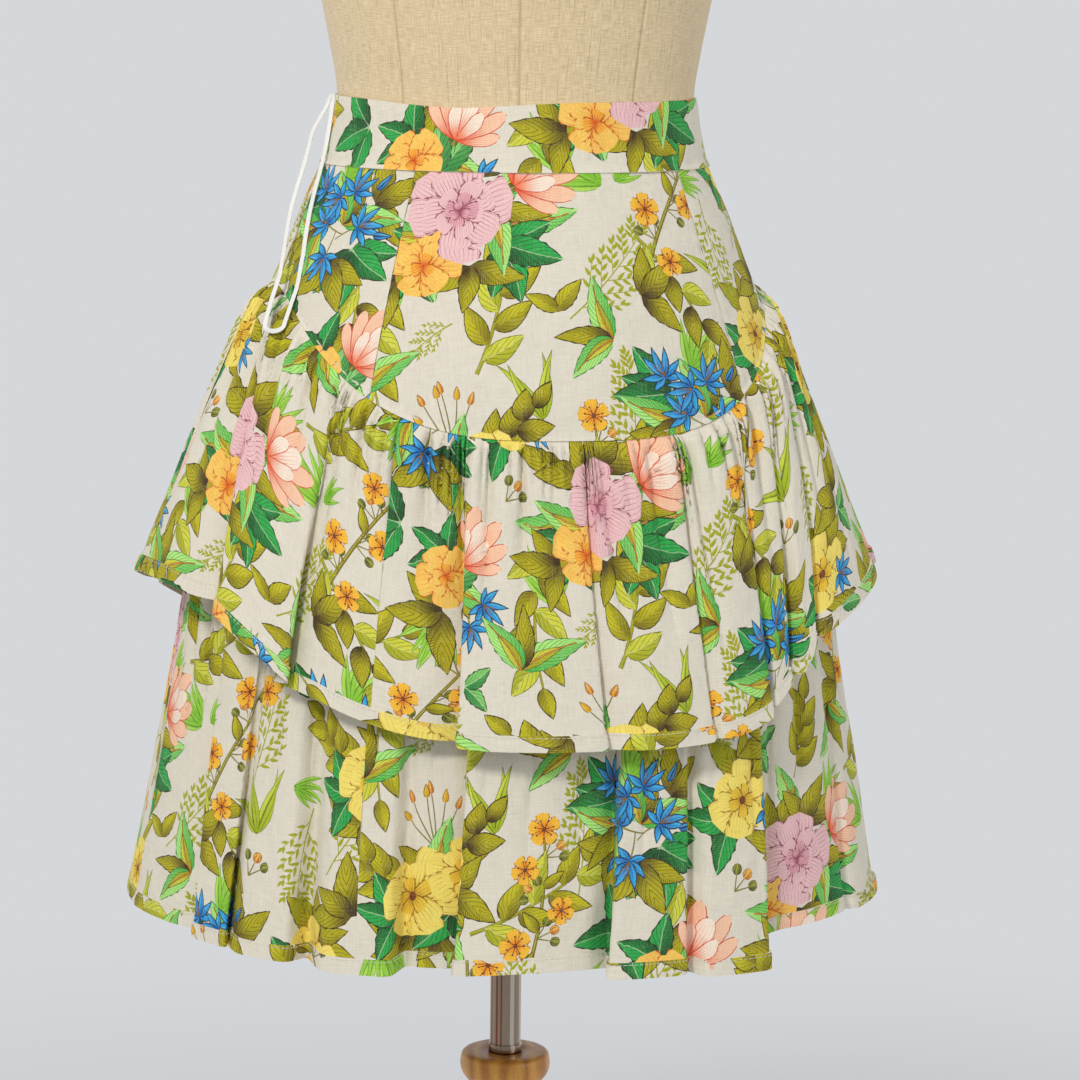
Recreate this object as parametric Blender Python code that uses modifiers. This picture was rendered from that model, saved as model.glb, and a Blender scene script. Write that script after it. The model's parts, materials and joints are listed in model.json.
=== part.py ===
"""A pleated two-tier skirt of printed linen, standing on a limbless dress form.

Metres, +Z up, the form faces -Y, and the origin lies on the floor under the pole.
An angle round the form is 0 at the front and grows towards +X.  The skirt is
turned a little on the form, so its own centre front lies at SKIRT_TURN.

The cloth is built as walls: each piece is an open sheet worked out from the
sections and fold tables below, thickened inwards.
"""
import math

import bmesh
import bpy
from mathutils import Matrix, Vector

# ---------------------------------------------------------------- driving sizes
GAP = 0.0003                 # clearance kept between pieces that touch
CLOTH = 0.0012               # wall of one layer of linen
BAND_CLOTH = 0.0016          # wall of the waistband, which is doubled
SKIRT_TURN = math.radians(11.5)
SIDE_SEAM = math.radians(90)
PRINCESS_SEAM = math.radians(42.5)

WAIST_TOP = 1.030            # top edge of the waistband above the floor
BAND_SEAM = 0.984            # waistband to yoke
YOKE_SEAM_LOW = 0.812        # yoke to upper tier, at centre front and back
YOKE_SEAM_RISE = 0.092       # how much higher that seam is at the side seams
YOKE_SEAM_POWER = 3.4        # how late the seam turns up towards the sides
LINING_SEAM = 0.730          # plain under-layer to lower tier, level all round
TIER_1_DROP = 0.198
TIER_2_DROP = 0.268
HEM_BAND = 0.011             # width of the bias strip that binds each hem

COLUMN_STEP = math.radians(7.5)   # column spacing of the plain, unfolded pieces

# Sections of the fitted part of the skirt, outside of the cloth.
FITTED_SECTIONS = [
    # height, half_width, half_depth
    (0.700, 0.2150, 0.1400),
    (0.760, 0.2060, 0.1430),
    (0.812, 0.1960, 0.1455),
    (0.860, 0.1820, 0.1370),
    (0.906, 0.1650, 0.1265),
    (0.950, 0.1475, 0.1140),
    (0.984, 0.1334, 0.1035),
    (1.007, 0.1275, 0.0980),
    (1.030, 0.1245, 0.0945),
]

# Sections of the dress form.
FORM_SECTIONS = [
    # height, half_width, half_depth, set_back
    (0.745, 0.1560, 0.1130, 0.004),
    (0.790, 0.1590, 0.1160, 0.005),
    (0.840, 0.1600, 0.1170, 0.004),
    (0.890, 0.1540, 0.1140, 0.002),
    (0.940, 0.1415, 0.1065, 0.001),
    (0.984, 0.1303, 0.1003, 0.000),
    (1.007, 0.1251, 0.0956, 0.000),
    (1.030, 0.1222, 0.0922, 0.000),
    (1.060, 0.1262, 0.0955, -0.001),
    (1.100, 0.1335, 0.1015, -0.003),
    (1.160, 0.1440, 0.1120, -0.008),
    (1.220, 0.1520, 0.1220, -0.012),
    (1.270, 0.1570, 0.1170, -0.007),
    (1.320, 0.1680, 0.1040, 0.002),
    (1.360, 0.1700, 0.0920, 0.008),
    (1.390, 0.1450, 0.0790, 0.012),
    (1.412, 0.1000, 0.0660, 0.012),
    (1.432, 0.0660, 0.0590, 0.010),
    (1.470, 0.0560, 0.0560, 0.006),
]
FORM_COLUMNS = 44

# Folds of the upper tier: one row for each panel of cloth between two creases.
# Angles are in degrees round the form, from where the panel leaves the seam to
# where it ends at the hem; out is how far it stands off the mean hem, tuck how
# deep the cloth goes in after it, under where the bottom of that tuck lies, and
# lift how far the hem rises there.  Lengths are in millimetres.
UPPER_FOLDS = [
    # seam_from, seam_to, hem_from, hem_to, out_from, out_to, tuck, under, lift
    (-98, -66, -99, -56, 10, 4, 11, -48, 0),
    (-62, -38, -52, -35, 9, 6, 9, -37, 0),
    (-35, -12, -33, -12, 1, -5, 11, -6, 0),
    (-9, 12, -10, 15, 9, 7, -3, 17, 0),
    (14, 31, 18, 32, 8, 7, -2, 33, 0),
    (33, 47, 34, 43, 8, 6, 13, 42, 0),
    (50, 59, 44, 48, 1, 0, 12, 49, 0),
    (62, 71, 50, 54, 3, 2, 12, 55, 0),
    (74, 95, 56, 86, 2, 4, 12, 90, 0),
    (99, 122, 91, 117, 7, 4, 12, 116, 0),
    (126, 138, 118, 131, 5, 6, 12, 135, 0),
    (141, 156, 134, 152, 7, 3, 12, 150, 0),
    (159, 173, 153, 170, 4, 7, 12, 174, 0),
    (176, 191, 173, 187, 8, 6, 11, 190, 0),
    (194, 210, 190, 207, 5, 7, 12, 205, 0),
    (213, 228, 208, 226, 6, 3, 12, 230, 0),
    (231, 243, 228, 241, 7, 6, 12, 239, 0),
    (246, 258, 242, 256, 4, 6, 12, 259, 0),
]

LOWER_FOLDS = [
    # seam_from, seam_to, hem_from, hem_to, out_from, out_to, tuck, under, lift
    (-99, -68, -97, -60, 13, 2, 11, -54, 8),
    (-61, -49, -57, -47, 4, 4, 3, -46, 4),
    (-46, -37, -45, -35, 7, 7, 14, -34, 2),
    (-31, -19, -29, -18, 9, 8, 12, -17, 0),
    (-16, -10, -16, -9, -7, -7, 13, -6, 4),
    (-7, 16, -10, 11, 13, -5, 13, 15, 4),
    (20, 31, 13, 26, 9, 11, 5, 27, 0),
    (33, 46, 29, 41, 12, 15, 14, 40, -3),
    (54, 72, 45, 66, -7, -2, 8, 67, 16),
    (75, 96, 69, 90, 1, 5, 12, 94, 14),
    (102, 122, 95, 116, 9, 6, 13, 114, 4),
    (128, 139, 118, 134, 6, 9, 12, 138, 2),
    (144, 158, 137, 154, 10, 6, 12, 152, 0),
    (163, 176, 156, 175, 6, 9, 13, 179, 2),
    (181, 195, 178, 193, 10, 7, 12, 190, 0),
    (200, 213, 194, 211, 7, 10, 13, 215, 0),
    (218, 231, 214, 230, 9, 6, 12, 228, 3),
    (236, 246, 232, 245, 7, 9, 12, 248, 4),
    (250, 257, 248, 257, 6, 9, 11, 258, 5),
]

UPPER_HEM = (0.2510, 0.1890)      # mean half_width and half_depth at the hem
LOWER_HEM = (0.2560, 0.1960)
FOLD_ROWS = (0.0, 0.07, 0.20, 0.42, 0.64, 0.82)   # heights of the tiers' rows of points
VALLEY_TURN = 0.5                 # degrees by which the bottom of a tuck is rounded
GATHER_HEIGHT = 0.07              # where the small gathers stand out most
GATHER_DEPTH = 0.0011
GATHER_REACH = 0.16
GATHER_ROOM = 2.4                 # degrees between two points where the gathers are full

ZIP_WIDTH = 0.0024
SLIDER_WIDTH = 0.0056
SLIDER_LENGTH = 0.0090
SLIDER_THICKNESS = 0.0022
SLIDER_STAND_OFF = 0.0006         # between the cloth and the slider's inner face
SLIDER_BELOW_TOP = 0.012          # slider's middle below the waistband's top edge
HINGE_OUT = 0.0032                # hinge line of the tab above the slider's inner face
BRIDGE_WIDTH = 0.0014             # the bridge that the tab's top bar passes under
BRIDGE_SPAN = 0.0030              # half of its length along the zip
BRIDGE_POST = 0.0008
BRIDGE_UNDERSIDE = 0.0042
BRIDGE_TOP = 0.0050
TAB_LENGTH = 0.0200
TAB_WIDTH = 0.0042
TAB_THICKNESS = 0.0012
TAB_BAR = 0.0010                  # top bar of the tab, which is its hinge
TAB_WINDOW_WIDTH = 0.0024
TAB_WINDOW_LENGTH = 0.0042

RIBBON_WIDTH = 0.0038
RIBBON_THICKNESS = 0.0010
RIBBON_LENGTH = 0.150             # hanging length of the loop
RIBBON_TOP_ANGLE = math.radians(-84)
RIBBON_FOOT_ANGLE = math.radians(-64)
RIBBON_BOW = 0.008                # how far the loop bows away from the skirt
RIBBON_HALF_SPREAD = 0.0066

POLE_RADIUS = 0.011
HUB_TOP = 0.352
HUB_RADIUS = 0.032
POLE_SEAT = 0.020                 # depth of the pole in the hub
SOCKET_RADIUS = 0.030
SOCKET_HEIGHT = 0.012
LEG_COUNT = 3
LEG_REACH = 0.210
LEG_THICKNESS = 0.020
LEG_ROOT_HEIGHT = 0.225
COLUMN_RADIUS = 0.019

COLOURS = {
    # name: (red, green, blue), roughness, metallic
    "printed_linen": ((0.78, 0.75, 0.64), 0.85, 0.0),
    "form_linen": ((0.56, 0.46, 0.33), 0.9, 0.0),
    "steel": ((0.62, 0.60, 0.58), 0.25, 1.0),
    "beech": ((0.66, 0.43, 0.20), 0.5, 0.0),
    "ribbon": ((0.90, 0.90, 0.88), 0.5, 0.0),
    "zip_metal": ((0.72, 0.70, 0.64), 0.35, 1.0),
    "zip_tape": ((0.80, 0.78, 0.70), 0.8, 0.0),
}


# ---------------------------------------------------------------- small helpers
def clear_scene():
    for obj in list(bpy.data.objects):
        bpy.data.objects.remove(obj, do_unlink=True)


def make_materials():
    made = {}
    for name, (colour, roughness, metallic) in COLOURS.items():
        material = bpy.data.materials.new(name)
        material.use_nodes = True
        shader = material.node_tree.nodes["Principled BSDF"]
        shader.inputs["Base Color"].default_value = (*colour, 1.0)
        shader.inputs["Roughness"].default_value = roughness
        shader.inputs["Metallic"].default_value = metallic
        made[name] = material
    return made


def table_value(table, column, at):
    """Smooth curve through one column of a table whose first column is the place."""
    at = min(max(at, table[0][0]), table[-1][0])
    last = len(table) - 1
    i = 0
    while i < last - 1 and at > table[i + 1][0]:
        i += 1

    def slope(k):
        a, b = table[max(k - 1, 0)], table[min(k + 1, last)]
        return (b[column] - a[column]) / (b[0] - a[0])

    lower, upper = table[i], table[i + 1]
    span = upper[0] - lower[0]
    t = (at - lower[0]) / span
    start = (2 * t**3 - 3 * t**2 + 1) * lower[column] + (t**3 - 2 * t**2 + t) * span * slope(i)
    end = (3 * t**2 - 2 * t**3) * upper[column] + (t**3 - t**2) * span * slope(i + 1)
    return start + end


def mix(a, b, t):
    return a + (b - a) * t


def ease(t):
    t = min(max(t, 0.0), 1.0)
    return t * t * (3 - 2 * t)


def ring_point(half_width, half_depth, angle, height, out=0.0):
    """A point on an oval section, moved out along the section's normal."""
    normal = Vector((math.sin(angle) / half_width, -math.cos(angle) / half_depth, 0.0)).normalized()
    base = Vector((half_width * math.sin(angle), -half_depth * math.cos(angle), height))
    return base + normal * out


def fitted_point(angle, height, out=0.0):
    """A point on the outside of the fitted cloth."""
    half_width = table_value(FITTED_SECTIONS, 1, height)
    half_depth = table_value(FITTED_SECTIONS, 2, height)
    return ring_point(half_width, half_depth, angle, height, out)


def fitted_normal(angle, height):
    """Outward normal of the fitted cloth."""
    step = 0.001
    along = fitted_point(angle + step, height) - fitted_point(angle - step, height)
    up = fitted_point(angle, height + step) - fitted_point(angle, height - step)
    return along.cross(up).normalized()


def seam_height(angle):
    """Height of the curved yoke seam."""
    sideways = abs(math.sin(angle - SKIRT_TURN))
    return YOKE_SEAM_LOW + YOKE_SEAM_RISE * sideways**YOKE_SEAM_POWER


def place(name, data, material, collection):
    obj = bpy.data.objects.new(name, data)
    data.materials.append(material)
    collection.objects.link(obj)
    return obj


def wall(name, outside, normals, thickness, material, collection, closed_round=False):
    """A cloth wall lofted through rows of points on its outside.

    Its inside lies one thickness in along the same normals, which neighbouring
    pieces share along a seam, so the clearance between them stays even.
    """
    mesh = bmesh.new()
    skins = []
    for depth in (0.0, thickness):
        skin = []
        for row, row_normals in zip(outside, normals):
            skin.append([mesh.verts.new(p - n * depth) for p, n in zip(row, row_normals)])
        skins.append(skin)
    outer, inner = skins
    last_row = len(outside) - 1
    columns = len(outside[0])
    for c in range(columns if closed_round else columns - 1):
        d = (c + 1) % columns
        for r in range(last_row):
            mesh.faces.new((outer[r][c], outer[r + 1][c], outer[r + 1][d], outer[r][d]))
            mesh.faces.new((inner[r][c], inner[r][d], inner[r + 1][d], inner[r + 1][c]))
        mesh.faces.new((inner[0][d], inner[0][c], outer[0][c], outer[0][d]))
        mesh.faces.new((outer[last_row][c], inner[last_row][c], inner[last_row][d], outer[last_row][d]))
    if not closed_round:
        for r in range(last_row):
            mesh.faces.new((outer[r][0], inner[r][0], inner[r + 1][0], outer[r + 1][0]))
            mesh.faces.new((outer[r + 1][-1], inner[r + 1][-1], inner[r][-1], outer[r][-1]))
    data = bpy.data.meshes.new(name)
    mesh.to_mesh(data)
    mesh.free()
    data.shade_smooth()
    data.set_sharp_from_angle(angle=math.radians(60))
    return place(name, data, material, collection)


def turned(name, profile, steps, material, collection):
    """A turned piece: a profile of (radius, height) from top to bottom, on the +X side."""
    data = bpy.data.meshes.new(name)
    mesh = bmesh.new()
    verts = [mesh.verts.new((radius, 0.0, height)) for radius, height in profile]
    for a, b in zip(verts, verts[1:]):
        mesh.edges.new((a, b))
    mesh.to_mesh(data)
    mesh.free()
    obj = place(name, data, material, collection)
    screw = obj.modifiers.new("turn", "SCREW")
    screw.steps = steps
    screw.render_steps = steps
    screw.use_merge_vertices = True
    screw.merge_threshold = 0.00005
    return obj


def angles_between(start, end, step=COLUMN_STEP):
    count = max(2, math.ceil((end - start) / step))
    return [mix(start, end, i / count) for i in range(count + 1)]


# ---------------------------------------------------------------- folded tiers
def spline_rows(table, per_span=1):
    """Stations round a tier from its fold table.

    Each fold gives seven control stations: its two edges, doubled so that the
    crease stays crisp, its middle, and the bottom of the tuck.  A closed uniform
    B-spline runs through them, so neighbouring folds roll into each other.
    """
    controls = []
    for i, row in enumerate(table):
        seam_from, seam_to, hem_from, hem_to, out_from, out_to, tuck, under, lift = row
        nxt = table[(i + 1) % len(table)]
        next_seam = nxt[0] + (360 if i == len(table) - 1 else 0)
        crown = 0.06 * (hem_to - hem_from)
        for t in (0.0, 0.14, 0.5, 0.86, 1.0):
            out = mix(out_from, out_to, t) + crown * 4 * t * (1 - t)
            controls.append((mix(seam_from, seam_to, t), mix(hem_from, hem_to, t), out, lift))
        for t, turn in ((0.40, -VALLEY_TURN), (0.60, VALLEY_TURN)):
            tuck_lift = mix(lift, nxt[8], t)
            controls.append((mix(seam_to, next_seam, t), under + turn, -tuck, tuck_lift))
    count = len(controls)
    stations = []
    for i in range(count):
        for k in range(per_span):
            t = k / per_span
            weights = (
                (1 - t) ** 3 / 6,
                (3 * t**3 - 6 * t**2 + 4) / 6,
                (-3 * t**3 + 3 * t**2 + 3 * t + 1) / 6,
                t**3 / 6,
            )
            station = [0.0, 0.0, 0.0, 0.0]
            for j, weight in enumerate(weights):
                index = i - 1 + j
                turns = index // count
                control = controls[index % count]
                whole = (control[0] + 360 * turns, control[1] + 360 * turns, control[2], control[3])
                for n in range(4):
                    station[n] += weight * whole[n]
            stations.append(station)
    return stations


def gather_share(angle):
    """How gathered the seam is: little at centre front, fully towards the sides."""
    return 0.25 + 0.75 * ease((abs(math.sin(angle - SKIRT_TURN)) - 0.3) / 0.4)


def tier_point(station, v, ripple, tier):
    """One point of a tier: v runs from 0 at its seam to 1 at its hem."""
    seam_angle = math.radians(station[0])
    hem_angle = math.radians(station[1])
    angle = mix(seam_angle, hem_angle, v**1.1)
    top = tier["seam"](seam_angle)
    start_width = table_value(FITTED_SECTIONS, 1, top) + tier["set_off"]
    start_depth = table_value(FITTED_SECTIONS, 2, top) + tier["set_off"]
    spread = v**0.82
    half_width = mix(start_width, tier["hem"][0], spread)
    half_depth = mix(start_depth, tier["hem"][1], spread)
    out = 0.001 * station[2] * v**0.8
    rise = ease(v / GATHER_HEIGHT) if v < GATHER_HEIGHT else 1 - ease((v - GATHER_HEIGHT) / GATHER_REACH)
    out += ripple * GATHER_DEPTH * rise * gather_share(seam_angle)
    height = top - tier["drop"] * v + 0.001 * station[3] * v * v
    return ring_point(half_width, half_depth, angle, height, out)


TIERS = {
    # seams: the fold rows whose middles carry a joining seam, going round from the left
    "tier_1": {
        "folds": UPPER_FOLDS,
        "seam": lambda angle: seam_height(angle) - GAP,
        "drop": TIER_1_DROP,
        "hem": UPPER_HEM,
        "set_off": 0.0004,
        "seams": (0, 2, 9),
    },
    "tier_2": {
        "folds": LOWER_FOLDS,
        "seam": lambda angle: LINING_SEAM - GAP,
        "drop": TIER_2_DROP,
        "hem": LOWER_HEM,
        "set_off": 0.0,
        "seams": (0, 3, 10),
    },
}
TIER_PIECES = ("front_left", "front_right", "back")
STATIONS_PER_FOLD = 7
MIDDLE_STATION = 2


def tier_row(stations, v, tier):
    """One row of points right round a tier, with their outward normals."""
    count = len(stations)
    ripples = []
    for i in range(count):
        # neighbours stand alternately in and out, less where they lie close together
        room = min((stations[(i + k + 1) % count][0] - stations[(i + k) % count][0]) % 360 for k in (-1, 0))
        ripples.append((1 if i % 2 else -1) * min(1.0, room / GATHER_ROOM))
    step = 0.01
    row = [tier_point(s, v, ripple, tier) for s, ripple in zip(stations, ripples)]
    above = [tier_point(s, max(v - step, 0.0), ripple, tier) for s, ripple in zip(stations, ripples)]
    below = [tier_point(s, min(v + step, 1.0), ripple, tier) for s, ripple in zip(stations, ripples)]
    normals = []
    for i in range(count):
        along = (row[(i + 1) % count] - row[i]).normalized() + (row[i] - row[i - 1]).normalized()
        normals.append(along.cross(above[i] - below[i]).normalized())
    return row, normals


def build_tier(name, tier, material, collection):
    stations = spline_rows(tier["folds"])
    band_at = 1 - HEM_BAND / (tier["drop"] * 1.03)
    heights = FOLD_ROWS + (band_at - GAP / tier["drop"],)
    rows = [tier_row(stations, v, tier) for v in heights]
    starts = [fold * STATIONS_PER_FOLD + MIDDLE_STATION for fold in tier["seams"]]
    ends = starts[1:] + [starts[0] + len(stations)]
    for piece, start, end in zip(TIER_PIECES, starts, ends):
        outside, normals = [], []
        for row, row_normals in rows:
            picked = [i % len(stations) for i in range(start, end + 1)]
            points = [row[i].copy() for i in picked]
            # the side edges stand half a gap back from the next piece
            points[0] += (points[1] - points[0]).normalized() * GAP / 2
            points[-1] += (points[-2] - points[-1]).normalized() * GAP / 2
            outside.append(points)
            normals.append([row_normals[i] for i in picked])
        wall(f"{name}_{piece}", outside, normals, CLOTH, material, collection)
    band = [tier_row(stations, v, tier) for v in (band_at, 1.0)]
    outside = [row for row, _ in band]
    normals = [row_normals for _, row_normals in band]
    wall(f"{name}_hem_band", outside, normals, CLOTH, material, collection, closed_round=True)


# ---------------------------------------------------------------- fitted pieces
def fitted_wall(name, start, end, heights, outs, thickness, material, collection):
    """A smooth piece between two angles, with its edges half a gap back from both.

    heights are the rows from top to bottom, numbers or functions of the angle;
    outs is how far each row stands off the fitted sections.
    """
    outside, normals = [], []
    for height, out in zip(heights, outs):
        row, row_normals = [], []
        for angle in angles_between(start, end):
            level = height(angle) if callable(height) else height
            row.append(fitted_point(angle, level, out))
            row_normals.append(fitted_normal(angle, level))
        row[0] += (row[1] - row[0]).normalized() * GAP / 2
        row[-1] += (row[-2] - row[-1]).normalized() * GAP / 2
        outside.append(row)
        normals.append(row_normals)
    return wall(name, outside, normals, thickness, material, collection)


def between(high, low, share):
    """A height part of the way down from one level or seam to another."""
    def level(angle):
        top = high(angle) if callable(high) else high
        bottom = low(angle) if callable(low) else low
        return mix(top, bottom, share)
    return level


def build_fitted(material, collection):
    half_zip = (0.5 * ZIP_WIDTH + GAP / 2) / FITTED_SECTIONS[-1][1]
    left, right = SKIRT_TURN - SIDE_SEAM, SKIRT_TURN + SIDE_SEAM
    back = SKIRT_TURN + math.pi
    inner_left, inner_right = SKIRT_TURN - PRINCESS_SEAM, SKIRT_TURN + PRINCESS_SEAM
    bands = {
        "waistband_front": (left, right),
        "waistband_back_right": (right, back - half_zip),
        "waistband_back_left": (back + half_zip, left + 2 * math.pi),
    }
    band_levels = [between(WAIST_TOP, BAND_SEAM + GAP / 2, k / 2) for k in range(3)]
    for name, (start, end) in bands.items():
        fitted_wall(name, start, end, band_levels, [0.0] * 3, BAND_CLOTH, material, collection)
    yoke = {
        "yoke_front_centre": (inner_left, inner_right),
        "yoke_front_right": (inner_right, right),
        "yoke_front_left": (left, inner_left),
        "yoke_back_right": (right, back - half_zip),
        "yoke_back_left": (back + half_zip, left + 2 * math.pi),
    }
    yoke_levels = [between(BAND_SEAM - GAP / 2, seam_height, k / 4) for k in range(5)]
    for name, (start, end) in yoke.items():
        fitted_wall(name, start, end, yoke_levels, [0.0] * 5, CLOTH, material, collection)
    # the plain under-layer hangs inside the upper tier, from the yoke seam
    inset = CLOTH + 0.0012
    halves = {
        "underskirt_front": (left, right),
        "underskirt_back": (right, left + 2 * math.pi),
    }
    top = between(seam_height, LINING_SEAM, 0.004)
    under_levels = [between(top, LINING_SEAM, k / 3) for k in range(4)]
    under_outs = [-inset * (1 - ease(k / 3)) for k in range(4)]
    for name, (start, end) in halves.items():
        fitted_wall(name, start, end, under_levels, under_outs, CLOTH, material, collection)


# ---------------------------------------------------------------- zip
def box(name, size, location, material, collection):
    bpy.ops.mesh.primitive_cube_add(size=1.0, location=location)
    obj = bpy.context.active_object
    obj.name = name
    obj.data.name = name
    obj.scale = size
    bpy.ops.object.transform_apply(location=False, rotation=False, scale=True)
    obj.data.materials.append(material)
    for owner in list(obj.users_collection):
        owner.objects.unlink(obj)
    collection.objects.link(obj)
    return obj


def combine(obj, other, operation):
    change = obj.modifiers.new(operation.lower(), "BOOLEAN")
    change.operation = operation
    change.object = other
    change.solver = "EXACT"
    other.hide_render = True
    other.display_type = "WIRE"


def slider_frame():
    """Place of the slider: X across the zip, Y out of the cloth, Z up along it."""
    back = SKIRT_TURN + math.pi
    height = WAIST_TOP - SLIDER_BELOW_TOP
    outward = fitted_normal(back, height)
    along = fitted_point(back, height + 0.004) - fitted_point(back, height - 0.004)
    along = (along - outward * along.dot(outward)).normalized()
    across = outward.cross(along)
    frame = Matrix((across, outward, along)).transposed().to_4x4()
    frame.translation = fitted_point(back, height) + outward * SLIDER_STAND_OFF
    return frame


def build_zip(materials, collection, helpers):
    """Chain in the centre-back slit, slider at its top, and the hinged pull tab."""
    back = SKIRT_TURN + math.pi
    metal = materials["zip_metal"]
    outside, normals = [], []
    steps = 6
    for k in range(steps + 1):
        height = mix(WAIST_TOP - 0.004, seam_height(back) + GAP, k / steps)
        spread = 0.5 * ZIP_WIDTH / table_value(FITTED_SECTIONS, 1, height)
        angles = (back - spread, back + spread)
        outside.append([fitted_point(angle, height) for angle in angles])
        normals.append([fitted_normal(angle, height) for angle in angles])
    wall("zip_chain", outside, normals, CLOTH, materials["zip_tape"], collection)

    plate = box("zip_slider", (SLIDER_WIDTH, SLIDER_THICKNESS, SLIDER_LENGTH),
                (0.0, SLIDER_THICKNESS / 2, 0.0), metal, collection)
    pieces = [plate]
    rise = BRIDGE_TOP - SLIDER_THICKNESS / 2
    post_y = SLIDER_THICKNESS / 2 + rise / 2
    for side in (-1, 1):
        post_z = side * (BRIDGE_SPAN - BRIDGE_POST / 2)
        pieces.append(box(f"bridge_post_{side + 1}", (BRIDGE_WIDTH, rise, BRIDGE_POST),
                          (0.0, post_y, post_z), metal, helpers))
    bar = BRIDGE_TOP - BRIDGE_UNDERSIDE
    pieces.append(box("bridge_bar", (BRIDGE_WIDTH, bar, 2 * BRIDGE_SPAN - BRIDGE_POST),
                      (0.0, BRIDGE_UNDERSIDE + bar / 2, 0.0), metal, helpers))
    for other in pieces[1:]:
        combine(plate, other, "UNION")

    tab = box("zip_pull_tab", (TAB_WIDTH, TAB_THICKNESS, TAB_LENGTH),
              (0.0, HINGE_OUT, (TAB_BAR - TAB_LENGTH) / 2), metal, collection)
    window = box("tab_window", (TAB_WINDOW_WIDTH, 4 * TAB_THICKNESS, TAB_WINDOW_LENGTH),
                 (0.0, HINGE_OUT, -(TAB_BAR + TAB_WINDOW_LENGTH) / 2), metal, helpers)
    combine(tab, window, "DIFFERENCE")

    frame = bpy.data.objects.new("zip_slider_frame", None)
    collection.objects.link(frame)
    frame.matrix_world = slider_frame()
    for obj in pieces + [tab, window]:
        obj.parent = frame


# ---------------------------------------------------------------- hanger ribbon
def ribbon_path():
    """Stations (sideways, share of the way down) of the loop, seen from outside."""
    turn_radius = RIBBON_HALF_SPREAD * 0.6
    strand = []
    for k in range(8):
        t = k / 7
        belly = math.sin(math.pi * t) ** 0.8
        sideways = mix(0.0032, turn_radius, t) + (RIBBON_HALF_SPREAD - 0.0035) * belly
        strand.append((sideways, t))
    loop = list(strand)
    for k in range(1, 6):
        a = math.pi * k / 6
        loop.append((turn_radius * math.cos(a), 1 + turn_radius * math.sin(a) / RIBBON_LENGTH))
    loop += [(-sideways, t) for sideways, t in reversed(strand)]
    return loop


def build_ribbon(material, collection):
    """A narrow ribbon loop sewn at the waistband's top edge by the left side seam."""
    centres, outwards = [], []
    for sideways, t in ribbon_path():
        height = WAIST_TOP - 0.001 - RIBBON_LENGTH * t
        middle = mix(RIBBON_TOP_ANGLE, RIBBON_FOOT_ANGLE, t)
        angle = middle + sideways / table_value(FITTED_SECTIONS, 1, height)
        stand = GAP + RIBBON_THICKNESS + RIBBON_BOW * math.sin(math.pi * min(t / 0.7, 1.0))
        below_seam = seam_height(angle) + 0.012 - height
        if below_seam > 0:
            stand += 0.32 * below_seam
        centres.append(fitted_point(angle, height, stand))
        outwards.append(fitted_normal(angle, height))
    count = len(centres)
    left, right, normals = [], [], []
    for i, point in enumerate(centres):
        tangent = (centres[(i + 1) % count] - centres[i - 1]).normalized()
        side = tangent.cross(outwards[i]).normalized() * RIBBON_WIDTH / 2
        left.append(point - side)
        right.append(point + side)
        normals.append(side.cross(tangent).normalized())
    wall("hanger_ribbon", [left, right], [normals, normals], RIBBON_THICKNESS,
         material, collection, closed_round=True)


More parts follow.
